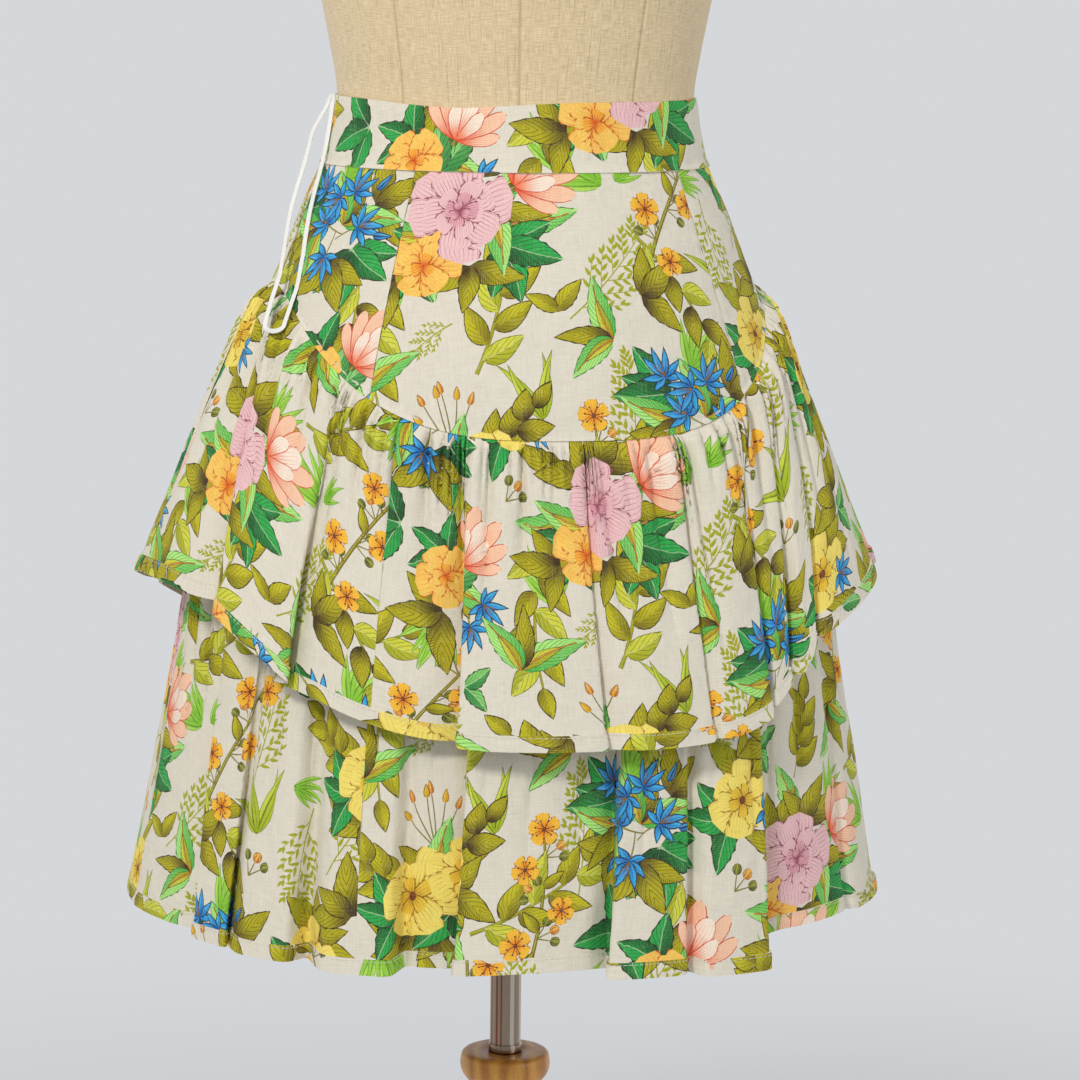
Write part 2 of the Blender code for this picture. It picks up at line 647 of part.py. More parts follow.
# ---------------------------------------------------------------- dress form
def build_form(materials, collection):
    mesh = bmesh.new()
    rings = []
    for height, half_width, half_depth, set_back in FORM_SECTIONS:
        ring = []
        for i in range(FORM_COLUMNS):
            angle = 2 * math.pi * i / FORM_COLUMNS
            point = ring_point(half_width, half_depth, angle, height)
            point.y += set_back
            ring.append(mesh.verts.new(point))
        rings.append(ring)
    for low, high in zip(rings, rings[1:]):
        for i in range(FORM_COLUMNS):
            j = (i + 1) % FORM_COLUMNS
            mesh.faces.new((low[i], low[j], high[j], high[i]))
    mesh.faces.new(list(reversed(rings[0])))
    mesh.faces.new(rings[-1])
    data = bpy.data.meshes.new("form_torso")
    mesh.to_mesh(data)
    mesh.free()
    data.shade_smooth()
    place("form_torso", data, materials["form_linen"], collection)

    neck = FORM_SECTIONS[-1]
    base = neck[0] + GAP
    cap_profile = [
        (0.0, base + 0.034), (0.008, base + 0.032), (0.011, base + 0.026), (0.007, base + 0.019),
        (0.020, base + 0.016), (0.044, base + 0.010), (0.054, base + 0.004), (0.054, base), (0.0, base),
    ]
    cap = turned("neck_cap", cap_profile, 32, materials["beech"], collection)
    cap.location.y = neck[3]

    bottom = FORM_SECTIONS[0][0] - GAP
    socket_profile = [
        (0.0, bottom), (SOCKET_RADIUS, bottom), (SOCKET_RADIUS, bottom - 0.004),
        (0.016, bottom - 0.006), (0.016, bottom - SOCKET_HEIGHT), (0.0, bottom - SOCKET_HEIGHT),
    ]
    turned("pole_socket", socket_profile, 32, materials["steel"], collection)

    pole_top = bottom - SOCKET_HEIGHT - GAP
    pole_bottom = HUB_TOP - POLE_SEAT + GAP
    bpy.ops.mesh.primitive_cylinder_add(
        radius=POLE_RADIUS, depth=pole_top - pole_bottom, vertices=32,
        location=(0.0, 0.0, (pole_top + pole_bottom) / 2))
    pole = bpy.context.active_object
    pole.name = pole.data.name = "pole"
    pole.data.materials.append(materials["steel"])
    for owner in list(pole.users_collection):
        owner.objects.unlink(pole)
    collection.objects.link(pole)

    bore = POLE_RADIUS + GAP
    seat = HUB_TOP - POLE_SEAT
    foot = LEG_ROOT_HEIGHT - 0.105
    hub_profile = [
        (0.0, seat), (bore, seat), (bore, HUB_TOP), (0.0285, HUB_TOP), (0.0312, HUB_TOP - 0.003),
        (HUB_RADIUS, HUB_TOP - 0.009), (0.0305, HUB_TOP - 0.015), (0.0262, HUB_TOP - 0.021),
        (0.0215, HUB_TOP - 0.029), (COLUMN_RADIUS, HUB_TOP - 0.042), (0.0175, 0.262),
        (COLUMN_RADIUS + 0.003, 0.250), (COLUMN_RADIUS + 0.003, 0.238), (COLUMN_RADIUS, 0.232),
        (COLUMN_RADIUS, foot + 0.004), (0.012, foot - 0.010), (0.0, foot - 0.014),
    ]
    turned("wood_hub", hub_profile, 32, materials["beech"], collection)


def build_legs(material, collection):
    """Three curved wooden legs, each a flat outline of constant thickness."""
    root, reach = COLUMN_RADIUS + GAP + 0.0006, LEG_REACH
    upper = [
        # along, height: the leg's upper edge from the column to the foot
        (root, LEG_ROOT_HEIGHT), (0.050, 0.222), (0.090, 0.190), (0.130, 0.130), (0.165, 0.062),
        (0.192, 0.032), (reach, 0.020),
    ]
    lower = [
        # along, height: its lower edge back from the foot to the column
        (reach, 0.0), (0.184, 0.0), (0.166, 0.012), (0.140, 0.046), (0.104, 0.110),
        (0.070, 0.152), (0.045, 0.162), (root, 0.160),
    ]
    for k in range(LEG_COUNT):
        curve = bpy.data.curves.new(f"leg_{k + 1}", "CURVE")
        curve.dimensions = "2D"
        curve.fill_mode = "BOTH"
        curve.extrude = LEG_THICKNESS / 2
        outline = curve.splines.new("POLY")
        points = upper + lower
        outline.points.add(len(points) - 1)
        for point, (along, height) in zip(outline.points, points):
            point.co = (along, height, 0.0, 1.0)
        outline.use_cyclic_u = True
        leg = place(f"leg_{k + 1}", curve, material, collection)
        turn = math.pi / 2 + 2 * math.pi * k / LEG_COUNT
        leg.rotation_euler = (math.pi / 2, 0.0, turn)


# ---------------------------------------------------------------- the object
def main():
    clear_scene()
    collection = bpy.data.collections.new("pleated_skirt_on_form")
    helpers = bpy.data.collections.new("cutters")
    bpy.context.scene.collection.children.link(collection)
    bpy.context.scene.collection.children.link(helpers)
    materials = make_materials()
    linen = materials["printed_linen"]
    build_fitted(linen, collection)
    for name, tier in TIERS.items():
        build_tier(name, tier, linen, collection)
    build_zip(materials, collection, helpers)
    build_ribbon(materials["ribbon"], collection)
    build_form(materials, collection)
    build_legs(materials["beech"], collection)


main()
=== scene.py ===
"""The looks of a pleated, two-tier printed linen skirt on a limbless dress form.

Metres, +Z up, the form faces -Y.  Every cloth piece is a thin shell on the form
of its CAD solid.  The shells are cut from flat patterns: a panel's flat outline,
a mesh of points inside it and the outlines of the printed motifs are triangulated
together, and the result is laid on the folded surface.  So the print is part of
the mesh, with crisp edges, and gathers and folds carry it as they carry real cloth.
"""
import json
import math
import random

import bmesh
import bpy
import numpy as np
from mathutils import Matrix, Vector
from mathutils.geometry import delaunay_2d_cdt

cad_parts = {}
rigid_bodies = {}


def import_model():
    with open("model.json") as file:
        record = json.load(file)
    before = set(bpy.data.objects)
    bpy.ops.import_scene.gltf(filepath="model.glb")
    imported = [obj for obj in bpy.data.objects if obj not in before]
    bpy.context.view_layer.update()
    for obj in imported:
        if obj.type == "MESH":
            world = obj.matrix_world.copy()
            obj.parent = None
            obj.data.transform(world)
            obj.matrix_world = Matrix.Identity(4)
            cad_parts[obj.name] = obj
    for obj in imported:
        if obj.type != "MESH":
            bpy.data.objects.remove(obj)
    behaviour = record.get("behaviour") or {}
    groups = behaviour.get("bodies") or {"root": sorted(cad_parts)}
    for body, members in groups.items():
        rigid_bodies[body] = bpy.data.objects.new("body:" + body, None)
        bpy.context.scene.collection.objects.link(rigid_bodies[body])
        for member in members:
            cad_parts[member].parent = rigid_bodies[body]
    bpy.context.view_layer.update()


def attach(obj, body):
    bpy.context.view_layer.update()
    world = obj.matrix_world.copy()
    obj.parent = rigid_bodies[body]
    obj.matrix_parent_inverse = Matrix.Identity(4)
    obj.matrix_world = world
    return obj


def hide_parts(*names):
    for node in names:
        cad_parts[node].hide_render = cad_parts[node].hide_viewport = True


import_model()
ROOT = "form_and_skirt"

# ================================================================ sizes of the skirt
GAP = 0.0003
CLOTH = 0.0007               # shown thickness of one layer
SKIRT_TURN = math.radians(11.5)
SIDE_SEAM = math.radians(90)
PRINCESS_SEAM = math.radians(42.5)

WAIST_TOP = 1.030
BAND_SEAM = 0.984
YOKE_SEAM_LOW = 0.812
YOKE_SEAM_RISE = 0.092
YOKE_SEAM_POWER = 3.4
LINING_SEAM = 0.730
TIER_1_DROP = 0.198
TIER_2_DROP = 0.268
HEM_BAND = 0.011

FITTED_SECTIONS = np.array([
    # height, half_width, half_depth
    (0.700, 0.2150, 0.1400),
    (0.760, 0.2060, 0.1430),
    (0.812, 0.1960, 0.1455),
    (0.860, 0.1820, 0.1370),
    (0.906, 0.1650, 0.1265),
    (0.950, 0.1475, 0.1140),
    (0.984, 0.1334, 0.1035),
    (1.007, 0.1275, 0.0980),
    (1.030, 0.1245, 0.0945),
])

FORM_SECTIONS = np.array([
    # height, half_width, half_depth, set_back
    (0.745, 0.1560, 0.1130, 0.004),
    (0.790, 0.1590, 0.1160, 0.005),
    (0.840, 0.1600, 0.1170, 0.004),
    (0.890, 0.1540, 0.1140, 0.002),
    (0.940, 0.1415, 0.1065, 0.001),
    (0.984, 0.1303, 0.1003, 0.000),
    (1.007, 0.1251, 0.0956, 0.000),
    (1.030, 0.1222, 0.0922, 0.000),
    (1.060, 0.1262, 0.0955, -0.001),
    (1.100, 0.1335, 0.1015, -0.003),
    (1.160, 0.1440, 0.1120, -0.008),
    (1.220, 0.1520, 0.1220, -0.012),
    (1.270, 0.1570, 0.1170, -0.007),
    (1.320, 0.1680, 0.1040, 0.002),
    (1.360, 0.1700, 0.0920, 0.008),
    (1.390, 0.1450, 0.0790, 0.012),
    (1.412, 0.1000, 0.0660, 0.012),
    (1.432, 0.0660, 0.0590, 0.010),
    (1.470, 0.0560, 0.0560, 0.006),
])

UPPER_FOLDS = [
    # seam_from, seam_to, hem_from, hem_to, out_from, out_to, tuck, under, lift
    (-98, -66, -99, -56, 10, 4, 11, -48, 0),
    (-62, -38, -52, -35, 9, 6, 11, -41, 0),
    (-35, -12, -33, -12, 1, -5, 11, -6, 0),
    (-9, 12, -10, 15, 9, 7, 4, 11, 0),
    (14, 31, 18, 32, 8, 7, 3, 29, 0),
    (33, 47, 34, 43, 8, 6, 13, 42, 0),
    (50, 59, 44, 48, 1, 0, 12, 49, 0),
    (62, 71, 50, 54, 3, 2, 12, 55, 0),
    (74, 95, 56, 86, 2, 4, 12, 90, 0),
    (99, 122, 91, 117, 7, 4, 12, 116, 0),
    (126, 138, 118, 131, 5, 6, 12, 135, 0),
    (141, 156, 134, 152, 7, 3, 12, 150, 0),
    (159, 173, 153, 170, 4, 7, 12, 174, 0),
    (176, 191, 173, 187, 8, 6, 11, 190, 0),
    (194, 210, 190, 207, 5, 7, 12, 205, 0),
    (213, 228, 208, 226, 6, 3, 12, 230, 0),
    (231, 243, 228, 241, 7, 6, 12, 239, 0),
    (246, 258, 242, 256, 4, 6, 12, 259, 0),
]

LOWER_FOLDS = [
    # seam_from, seam_to, hem_from, hem_to, out_from, out_to, tuck, under, lift
    (-99, -68, -97, -60, 13, 2, 11, -54, 8),
    (-61, -49, -57, -47, 4, 5, 9, -51, 4),
    (-46, -37, -45, -35, 7, 7, 14, -34, 2),
    (-31, -19, -29, -18, 9, 8, 12, -17, 0),
    (-16, -10, -16, -9, -7, -7, 13, -6, 4),
    (-7, 16, -10, 11, 13, -5, 13, 15, 4),
    (20, 31, 13, 26, 9, 11, 5, 27, 0),
    (33, 46, 29, 41, 12, 15, 14, 40, -3),
    (54, 72, 45, 66, -7, -2, 8, 67, 16),
    (75, 96, 69, 90, 1, 5, 12, 94, 14),
    (102, 122, 95, 116, 9, 6, 13, 114, 4),
    (128, 139, 118, 134, 6, 9, 12, 138, 2),
    (144, 158, 137, 154, 10, 6, 12, 152, 0),
    (163, 176, 156, 175, 6, 9, 13, 179, 2),
    (181, 195, 178, 193, 10, 7, 12, 190, 0),
    (200, 213, 194, 211, 7, 10, 13, 215, 0),
    (218, 231, 214, 230, 9, 6, 12, 228, 3),
    (236, 246, 232, 245, 7, 9, 12, 248, 4),
    (250, 257, 248, 257, 6, 9, 11, 258, 5),
]
VALLEY_TURN = 0.5

TIERS = {
    # hem: half_width, half_depth; seams: fold rows whose middles carry a joining seam
    "tier_1": dict(folds=UPPER_FOLDS, drop=TIER_1_DROP, hem=(0.2510, 0.1890), set_off=0.0004, seams=(0, 2, 9)),
    "tier_2": dict(folds=LOWER_FOLDS, drop=TIER_2_DROP, hem=(0.2560, 0.1960), set_off=0.0, seams=(0, 3, 10)),
}
TIER_PIECES = ("front_left", "front_right", "back")

# ================================================================ small helpers
def linear(colour):
    """sRGB 0-255 to linear."""
    out = []
    for c in colour:
        c = c / 255
        out.append(c / 12.92 if c <= 0.04045 else ((c + 0.055) / 1.055) ** 2.4)
    return tuple(out)


def ease(t):
    t = np.clip(t, 0.0, 1.0)
    return t * t * (3 - 2 * t)


def curve(table, column, at):
    """Smooth curve through a table's column, for arrays; the same one as the CAD uses."""
    x, y = table[:, 0], table[:, column]
    at = np.clip(at, x[0], x[-1])
    slope = np.empty_like(y)
    slope[1:-1] = (y[2:] - y[:-2]) / (x[2:] - x[:-2])
    slope[0] = (y[1] - y[0]) / (x[1] - x[0])
    slope[-1] = (y[-1] - y[-2]) / (x[-1] - x[-2])
    i = np.clip(np.searchsorted(x, at, side="left") - 1, 0, len(x) - 2)
    span = x[i + 1] - x[i]
    t = (at - x[i]) / span
    return ((2 * t**3 - 3 * t**2 + 1) * y[i] + (t**3 - 2 * t**2 + t) * span * slope[i]
            + (3 * t**2 - 2 * t**3) * y[i + 1] + (t**3 - t**2) * span * slope[i + 1])


def ring(half_width, half_depth, angle, height, out):
    """Points on oval sections, moved out along the section's normal."""
    nx, ny = np.sin(angle) / half_width, -np.cos(angle) / half_depth
    length = np.sqrt(nx * nx + ny * ny)
    x = half_width * np.sin(angle) + out * nx / length
    y = -half_depth * np.cos(angle) + out * ny / length
    return np.stack([x, y, height + 0 * x], -1)


def fitted(angle, height, out=0.0):
    return ring(curve(FITTED_SECTIONS, 1, height), curve(FITTED_SECTIONS, 2, height), angle, height, out)


def seam_height(angle):
    return YOKE_SEAM_LOW + YOKE_SEAM_RISE * np.abs(np.sin(angle - SKIRT_TURN)) ** YOKE_SEAM_POWER


def smooth_noise(x, seed, scale, octaves=2):
    """Smooth 1-D noise from -1 to 1 for an array x in metres."""
    total, strength = 0.0, 0.0
    for k in range(octaves):
        rng = np.random.default_rng(seed + 101 * k)
        values = rng.uniform(-1, 1, 512)
        at = x / scale * 2**k + 37.3 * k
        i = np.floor(at).astype(int)
        t = ease(at - i)
        total = total + (values[i % 512] * (1 - t) + values[(i + 1) % 512] * t) * 0.6**k
        strength += 0.6**k
    return total / strength


def unit(vectors):
    """Vectors scaled to a length of 1."""
    return vectors / np.maximum(np.linalg.norm(vectors, axis=-1, keepdims=True), 1e-12)


def along_line(points):
    """Distance along a line of points, from its first one."""
    return np.r_[0.0, np.cumsum(np.linalg.norm(np.diff(points, axis=0), axis=1))]


def turned(x, y, angle):
    """Flat coordinates turned about the origin."""
    c, s = math.cos(angle), math.sin(angle)
    return x * c - y * s, x * s + y * c


class Surface:
    """A dense grid of points and normals over flat coordinates, read with sample()."""

    def __init__(self, x, y, points):
        # x grows along the cloth, y runs down from the top edge; points is (x, y, 3)
        self.x, self.y, self.points = x, y, points
        along = np.gradient(points, axis=0)
        down = np.gradient(points, axis=1)
        self.normals = unit(np.cross(down, along))

    def sample(self, x, y):
        fx = np.interp(x, self.x, np.arange(len(self.x)))
        fy = np.interp(y, self.y, np.arange(len(self.y)))
        i = np.clip(fx.astype(int), 0, len(self.x) - 2)
        j = np.clip(fy.astype(int), 0, len(self.y) - 2)
        a, b = (fx - i)[:, None], (fy - j)[:, None]
        out = []
        for grid in (self.points, self.normals):
            out.append((grid[i, j] * (1 - a) + grid[i + 1, j] * a) * (1 - b)
                       + (grid[i, j + 1] * (1 - a) + grid[i + 1, j + 1] * a) * b)
        return out[0], unit(out[1])


# ================================================================ the print
# Every motif is made of blades: a base point, a direction, a length, a half width,
# a width profile and a bend.  All lengths of the print are in millimetres.
LEAF, LANCE, PETAL, ROUND, STEM, BUD, FAN = range(7)


def profile(kind, p):
    """Half width of a blade along its length, as a share of its largest."""
    p = np.clip(p, 0.0, 1.0)
    rest = 1 - p
    return np.select(
        [kind == LEAF, kind == LANCE, kind == PETAL, kind == ROUND, kind == STEM, kind == BUD],
        [np.sin(np.pi * p**0.78) ** 0.82 * (1 - 0.12 * p),
         np.sin(np.pi * p**0.72) ** 0.9,
         1.08 * p**0.6 * (1 - p**5) ** 0.62,
         2 * np.sqrt(p * rest),
         1 - 0.4 * p,
         np.sin(np.pi * p**0.62) ** 0.75],
        default=1.03 * p**0.42 * (1 - p**9) ** 0.5)


LOOKS = {
    # name: tone_a, tone_b, ink (sRGB), outline, rib (mm), chevrons, slope, streaks,
    #       weight, taper, by_length, by_side, hatch
    "emerald": ((6, 92, 44), (36, 176, 78), (30, 18, 12), 0.60, 0.60, 7, 0.42, 0, 0.08, 0.0, 0.5, 0.55, 0.30),
    "emerald_pale": ((36, 150, 70), (134, 214, 112), (34, 52, 18), 0.50, 0.5, 6, 0.42, 0, 0.09, 0.0, 0.3, 0.7, 0.16),
    "olive": ((140, 128, 0), (204, 196, 14), (54, 32, 8), 0.55, 0.0, 6, 0.45, 0, 0.06, 0.0, 0.6, 0.4, 0.14),
    "olive_dark": ((64, 38, 4), (186, 176, 8), (44, 24, 6), 0.58, 0.0, 7, 0.42, 0, 0.08, 0.0, 1.0, 0.2, 0.26),
    "olive_light": ((176, 180, 14), (218, 220, 66), (92, 88, 16), 0.40, 0.4, 5, 0.45, 0, 0.07, 0.0, 0.3, 0.7, 0.10),
    "fresh": ((134, 202, 42), (190, 232, 98), (86, 140, 24), 0.28, 0.0, 0, 0.0, 1, 0.10, 0.3, 0.3, 0.5, 0.0),
    "feather": ((160, 164, 4), (182, 186, 26), (112, 116, 20), 0.0, 0.0, 0, 0.0, 0, 0.0, 0.0, 0.2, 0.4, 0.0),
    "mint": ((86, 204, 80), (178, 240, 128), (20, 96, 40), 0.42, 0.7, 9, 0.40, 0, 0.08, 0.0, 0.4, 0.7, 0.16),
    "grass": ((166, 186, 10), (206, 222, 70), (96, 98, 18), 0.34, 0.0, 0, 0.0, 1, 0.10, 0.2, 0.4, 0.6, 0.0),
    "stem": ((158, 156, 14), (188, 188, 44), (98, 88, 18), 0.26, 0.0, 0, 0.0, 0, 0.10, 0.0, 0.1, 0.6, 0.0),
    "twig": ((158, 146, 26), (196, 188, 62), (92, 72, 18), 0.44, 0.0, 22, 0.3, 0, 0.08, 0.0, 0.1, 0.8, 0.10),
    "peony": ((206, 118, 142), (244, 198, 200), (140, 40, 74), 0.46, 0.0, 0, 0.0, 9, 0.14, 0.45, 1.0, 0.1, 0.0),
    "peony_heart": ((170, 74, 104), (234, 170, 180), (124, 32, 62), 0.46, 0.0, 0, 0.0, 7, 0.14, 0.4, 0.9, 0.1, 0.0),
    "magnolia": ((244, 84, 44), (255, 206, 172), (206, 52, 26), 0.46, 0.0, 0, 0.0, 7, 0.13, 0.7, 1.0, 0.0, 0.0),
    "magnolia_front": ((250, 132, 84), (255, 236, 216), (216, 66, 34), 0.44, 0.0, 0, 0.0, 6, 0.11, 0.7, 1.0, 0.0, 0.0),
    "rose": ((250, 128, 10), (255, 206, 96), (206, 84, 10), 0.46, 0.0, 0, 0.0, 7, 0.10, 0.6, 0.9, 0.1, 0.0),
    "rose_heart": ((236, 98, 8), (254, 176, 54), (176, 62, 8), 0.46, 0.0, 0, 0.0, 5, 0.12, 0.5, 0.9, 0.1, 0.0),
    "primrose": ((236, 186, 24), (252, 230, 112), (160, 108, 8), 0.50, 0.0, 0, 0.0, 7, 0.10, 0.6, 0.9, 0.1, 0.0),
    "primrose_heart": ((206, 148, 12), (246, 208, 62), (130, 84, 6), 0.52, 0.0, 0, 0.0, 5, 0.12, 0.5, 0.8, 0.1, 0.0),
    "lily": ((0, 112, 196), (62, 182, 240), (6, 14, 46), 0.56, 0.0, 0, 0.0, 3, 0.08, 0.5, 0.6, 0.4, 0.0),
    "lily_bud": ((10, 118, 204), (76, 178, 236), (6, 16, 50), 0.52, 0.0, 0, 0.0, 1, 0.14, 0.0, 0.5, 0.5, 0.0),
    "blossom": ((250, 146, 10), (255, 200, 56), (176, 84, 14), 0.42, 0.0, 0, 0.0, 5, 0.10, 0.7, 0.9, 0.0, 0.0),
    "heart": ((104, 48, 18), (150, 74, 24), (56, 26, 12), 0.30, 0.0, 0, 0.0, 0, 0.0, 0.0, 0.3, 0.3, 0.0),
    "stamen": ((84, 42, 20), (104, 56, 26), (60, 30, 16), 0.0, 0.0, 0, 0.0, 0, 0.0, 0.0, 0.0, 0.0, 0.0),
    "gold": ((208, 148, 16), (244, 200, 56), (132, 88, 12), 0.38, 0.0, 0, 0.0, 0, 0.0, 0.0, 0.4, 0.4, 0.0),
    "bud_green": ((100, 112, 28), (164, 166, 64), (66, 60, 16), 0.42, 0.0, 0, 0.0, 2, 0.18, 0.3, 0.4, 0.6, 0.0),
    "bud_orange": ((230, 138, 34), (248, 196, 92), (150, 80, 18), 0.38, 0.0, 0, 0.0, 2, 0.16, 0.3, 0.6, 0.4, 0.0),
}
LOOK_NAMES = list(LOOKS)


def fan(count):
    """Places of a fan's blades beside its middle, counted in blades."""
    return [k - (count - 1) / 2 for k in range(count)]


def outer_first(count):
    return sorted(fan(count), key=lambda beside: -abs(beside))


class Print:
    """Collects blades in three layers; later layers and later blades lie on top."""

    def __init__(self, seed):
        self.random = random.Random(seed)
        self.layers = [[], [], []]

    def vary(self, amount):
        return self.random.uniform(-amount, amount)

    def blade(self, layer, x, y, angle, length, half, kind, look, bend=0.0, points=7, teeth=0, depth=0.0):
        self.layers[layer].append((x, y, math.radians(angle), length, half, bend, kind,
                                   LOOK_NAMES.index(look), points, teeth, depth))

    # ---- along a curved stem
    def stem(self, layer, x, y, angle, length, half, bend, look="stem", points=7):
        self.blade(layer, x, y, angle, length, half, STEM, look, bend, points)

        def at(p):
            a = math.radians(angle)
            u, v = length * p, bend * length * p * p
            slope = math.degrees(math.atan(2 * bend * p))
            return (x + u * math.cos(a) - v * math.sin(a), y + u * math.sin(a) + v * math.cos(a), angle + slope)
        return at

    # ---- leaves and sprigs
    def emerald_cluster(self, x, y, angle, size=1.0, count=4, look="emerald"):
        spread = 150 / count
        for beside in outer_first(count):
            turn = beside * spread + self.vary(7)
            length = size * (37 - 2.2 * abs(beside)) * (1 + self.vary(0.1))
            self.blade(1, x, y, angle + turn, length, 0.27 * length, LEAF, look,
                       0.16 * (1 if turn > 0 else -1), 11, 5, 0.07)

    def olive_sprig(self, x, y, angle, size=1.0, pairs=3, bend=0.18, look="olive"):
        length = size * (16 + 12 * pairs)
        at = self.stem(0, x, y, angle, length, 0.6, bend)
        for k in range(pairs * 2):
            px, py, pa = at(0.18 + 0.74 * k / (pairs * 2))
            side = 1 if k % 2 else -1
            self.blade(1, px, py, pa + side * (46 + self.vary(9)), size * (26 - 1.3 * k + self.vary(2)),
                       size * 7.2, LEAF, look, -0.18 * side, 9)
        px, py, pa = at(0.97)
        self.blade(1, px, py, pa, size * 19, size * 5.4, LEAF, look, 0.05, 8)

    def olive_cluster(self, x, y, angle, size=1.0, count=3, look="olive_dark"):
        for beside in outer_first(count):
            turn = beside * 150 / count + self.vary(8)
            length = size * (35 + self.vary(5))
            self.blade(1, x, y, angle + turn, length, 0.25 * length, LEAF, look,
                       0.22 * (1 if turn > 0 else -1), 10, 4, 0.05)

    def meander(self, x, y, angle, length, bend, leaves=7, size=1.0, look="olive"):
        """A long curving stem with leaves to both sides, which ties two bouquets together."""
        at = self.stem(0, x, y, angle, length, 1.3 * size, bend, "stem", 10)
        for k in range(leaves):
            px, py, pa = at(0.10 + 0.86 * k / leaves)
            side = 1 if k % 2 else -1
            name = look if k % 3 else "olive_light"
            self.blade(1, px, py, pa + side * (50 + self.vary(12)), size * (28 + self.vary(5)), size * 7.4,
                       LEAF, name, -0.2 * side, 9)
        px, py, pa = at(0.99)
        self.blade(1, px, py, pa, size * 20, size * 5.4, LEAF, look, 0.06, 8)

    def fresh_spray(self, x, y, angle, size=1.0, count=7):
        for beside in fan(count):
            turn = beside * 100 / count + self.vary(5)
            length = size * (36 - 0.13 * abs(turn)) * (1 + self.vary(0.12))
            self.blade(0, x, y, angle + turn, length, size * 2.9, LANCE, "fresh", 0.16 * (1 if turn < 0 else -1), 6)

    def feather(self, x, y, angle, size=1.0, bend=0.12, twigs=4):
        """A plumy sprig: side twigs with small leaflets set alternately along them."""
        length = size * (16 + 9 * twigs)
        at = self.stem(0, x, y, angle, length, 0.5, bend, "feather", 6)
        for k in range(twigs * 2 + 1):
            p = 0.15 + 0.8 * k / (twigs * 2)
            px, py, pa = at(min(p, 0.97))
            side = 1 if k % 2 else -1
            if k == twigs * 2:
                side = 0.15
            reach = size * (20 * (1 - 0.7 * p) + 4)
            twig = self.stem(0, px, py, pa + side * 44, reach, 0.34, -0.12 * side, "feather", 3)
            for m in range(6):
                qx, qy, qa = twig(0.16 + 0.15 * m)
                self.blade(0, qx, qy, qa + (38 if m % 2 else -38), size * (6.6 - 0.5 * m), size * 1.0,
                           LANCE, "feather", 0, 4)
            qx, qy, qa = twig(0.97)
            self.blade(0, qx, qy, qa, size * 4.6, size * 0.95, LANCE, "feather", 0, 4)

    def mint_leaf(self, x, y, angle, size=1.0, bend=0.3, look="mint"):
        length = 48 * size
        self.blade(1, x, y, angle, length, 10.5 * size, LEAF, look, bend, 12, 5, 0.06)
        self.blade(1, x, y, angle, 0.7 * length, 4.6 * size, LANCE, "olive_light", bend * 0.7, 9)
        self.blade(1, x, y, angle, 0.86 * length, 0.9 * size, STEM, "bud_orange", bend * 0.86, 6)

    def broad_pair(self, x, y, angle, size=1.0):
        """Two broad pale leaves and a darker one from one point."""
        self.mint_leaf(x, y, angle - 34 + self.vary(8), 0.9 * size, -0.3)
        self.long_leaf(x, y, angle + 4 + self.vary(8), 0.8 * size, 0.2)
        self.mint_leaf(x, y, angle + 44 + self.vary(8), 0.8 * size, 0.3)

    def long_leaf(self, x, y, angle, size=1.0, bend=0.2):
        self.blade(1, x, y, angle, 50 * size, 9.0 * size, LEAF, "olive_dark", bend, 11, 4, 0.06)

    def grass(self, x, y, angle, size=1.0, count=3, bend=0.55):
        for k, beside in enumerate(fan(count)):
            turn = 20 * beside
            self.blade(0, x, y, angle + turn, size * (44 - 0.16 * abs(turn)), size * 3.3, LANCE,
                       "grass", 0.35 * bend * (1 if k % 2 == 0 else -0.6), 9)

    def bud_stalk(self, x, y, angle, size=1.0, count=5):
        for k, beside in enumerate(fan(count)):
            turn = beside * 17
            length = size * (30 - 0.12 * abs(turn) + self.vary(4))
            at = self.stem(0, x, y, angle + turn, length, 0.5, 0.10 * (1 if turn < 0 else -1), "stem", 5)
            px, py, pa = at(0.98)
            self.blade(1, px, py, pa, size * 8.5, size * 2.0, BUD, "gold" if k % 2 else "bud_orange", 0, 6)

    def round_buds(self, x, y, angle, size=1.0, count=3):
        for k, beside in enumerate(fan(count)):
            turn = beside * 36
            at = self.stem(0, x, y, angle + turn, size * 9, 0.5, 0.0, "stem", 3)
            px, py, pa = at(0.95)
            self.blade(1, px, py, pa, size * 6.4, size * 3.0, ROUND, "bud_orange" if k % 2 else "bud_green", 0, 7)

    # ---- flowers
    def rosette(self, x, y, rings, start=0.0):
        """rings: petals, radius, half width, offset of their bases, profile, look."""
        for r, (petals, radius, half, base, kind, look) in enumerate(rings):
            for k in range(petals):
                a = start + 360 * k / petals + 21 * r + self.vary(13)
                bx, by = x + base * math.cos(math.radians(a)), y + base * math.sin(math.radians(a))
                self.blade(2, bx, by, a, (radius - base) * (1 + self.vary(0.16)), half * (1 + self.vary(0.14)),
                           kind, look, self.vary(0.16), 9, 3, 0.07)

    def peony(self, x, y, angle, size=1.0):
        s = size
        self.rosette(x, y, [
            (6, 32 * s, 14.5 * s, 1, FAN, "peony"),
            (5, 25 * s, 12.0 * s, 0, FAN, "peony"),
            (5, 17 * s, 8.6 * s, 0, FAN, "peony"),
            (4, 11 * s, 6.0 * s, 0, FAN, "peony_heart"),
            (3, 6.5 * s, 3.8 * s, 0, FAN, "peony_heart"),
        ], angle)

    def rose(self, x, y, angle, size=1.0):
        s = size
        self.rosette(x, y, [
            (5, 21 * s, 11.4 * s, 0, FAN, "rose"),
            (4, 15.5 * s, 9.2 * s, 0, FAN, "rose"),
            (3, 11 * s, 7.2 * s, 0, FAN, "rose"),
            (3, 7 * s, 4.6 * s, 0, FAN, "rose_heart"),
        ], angle)

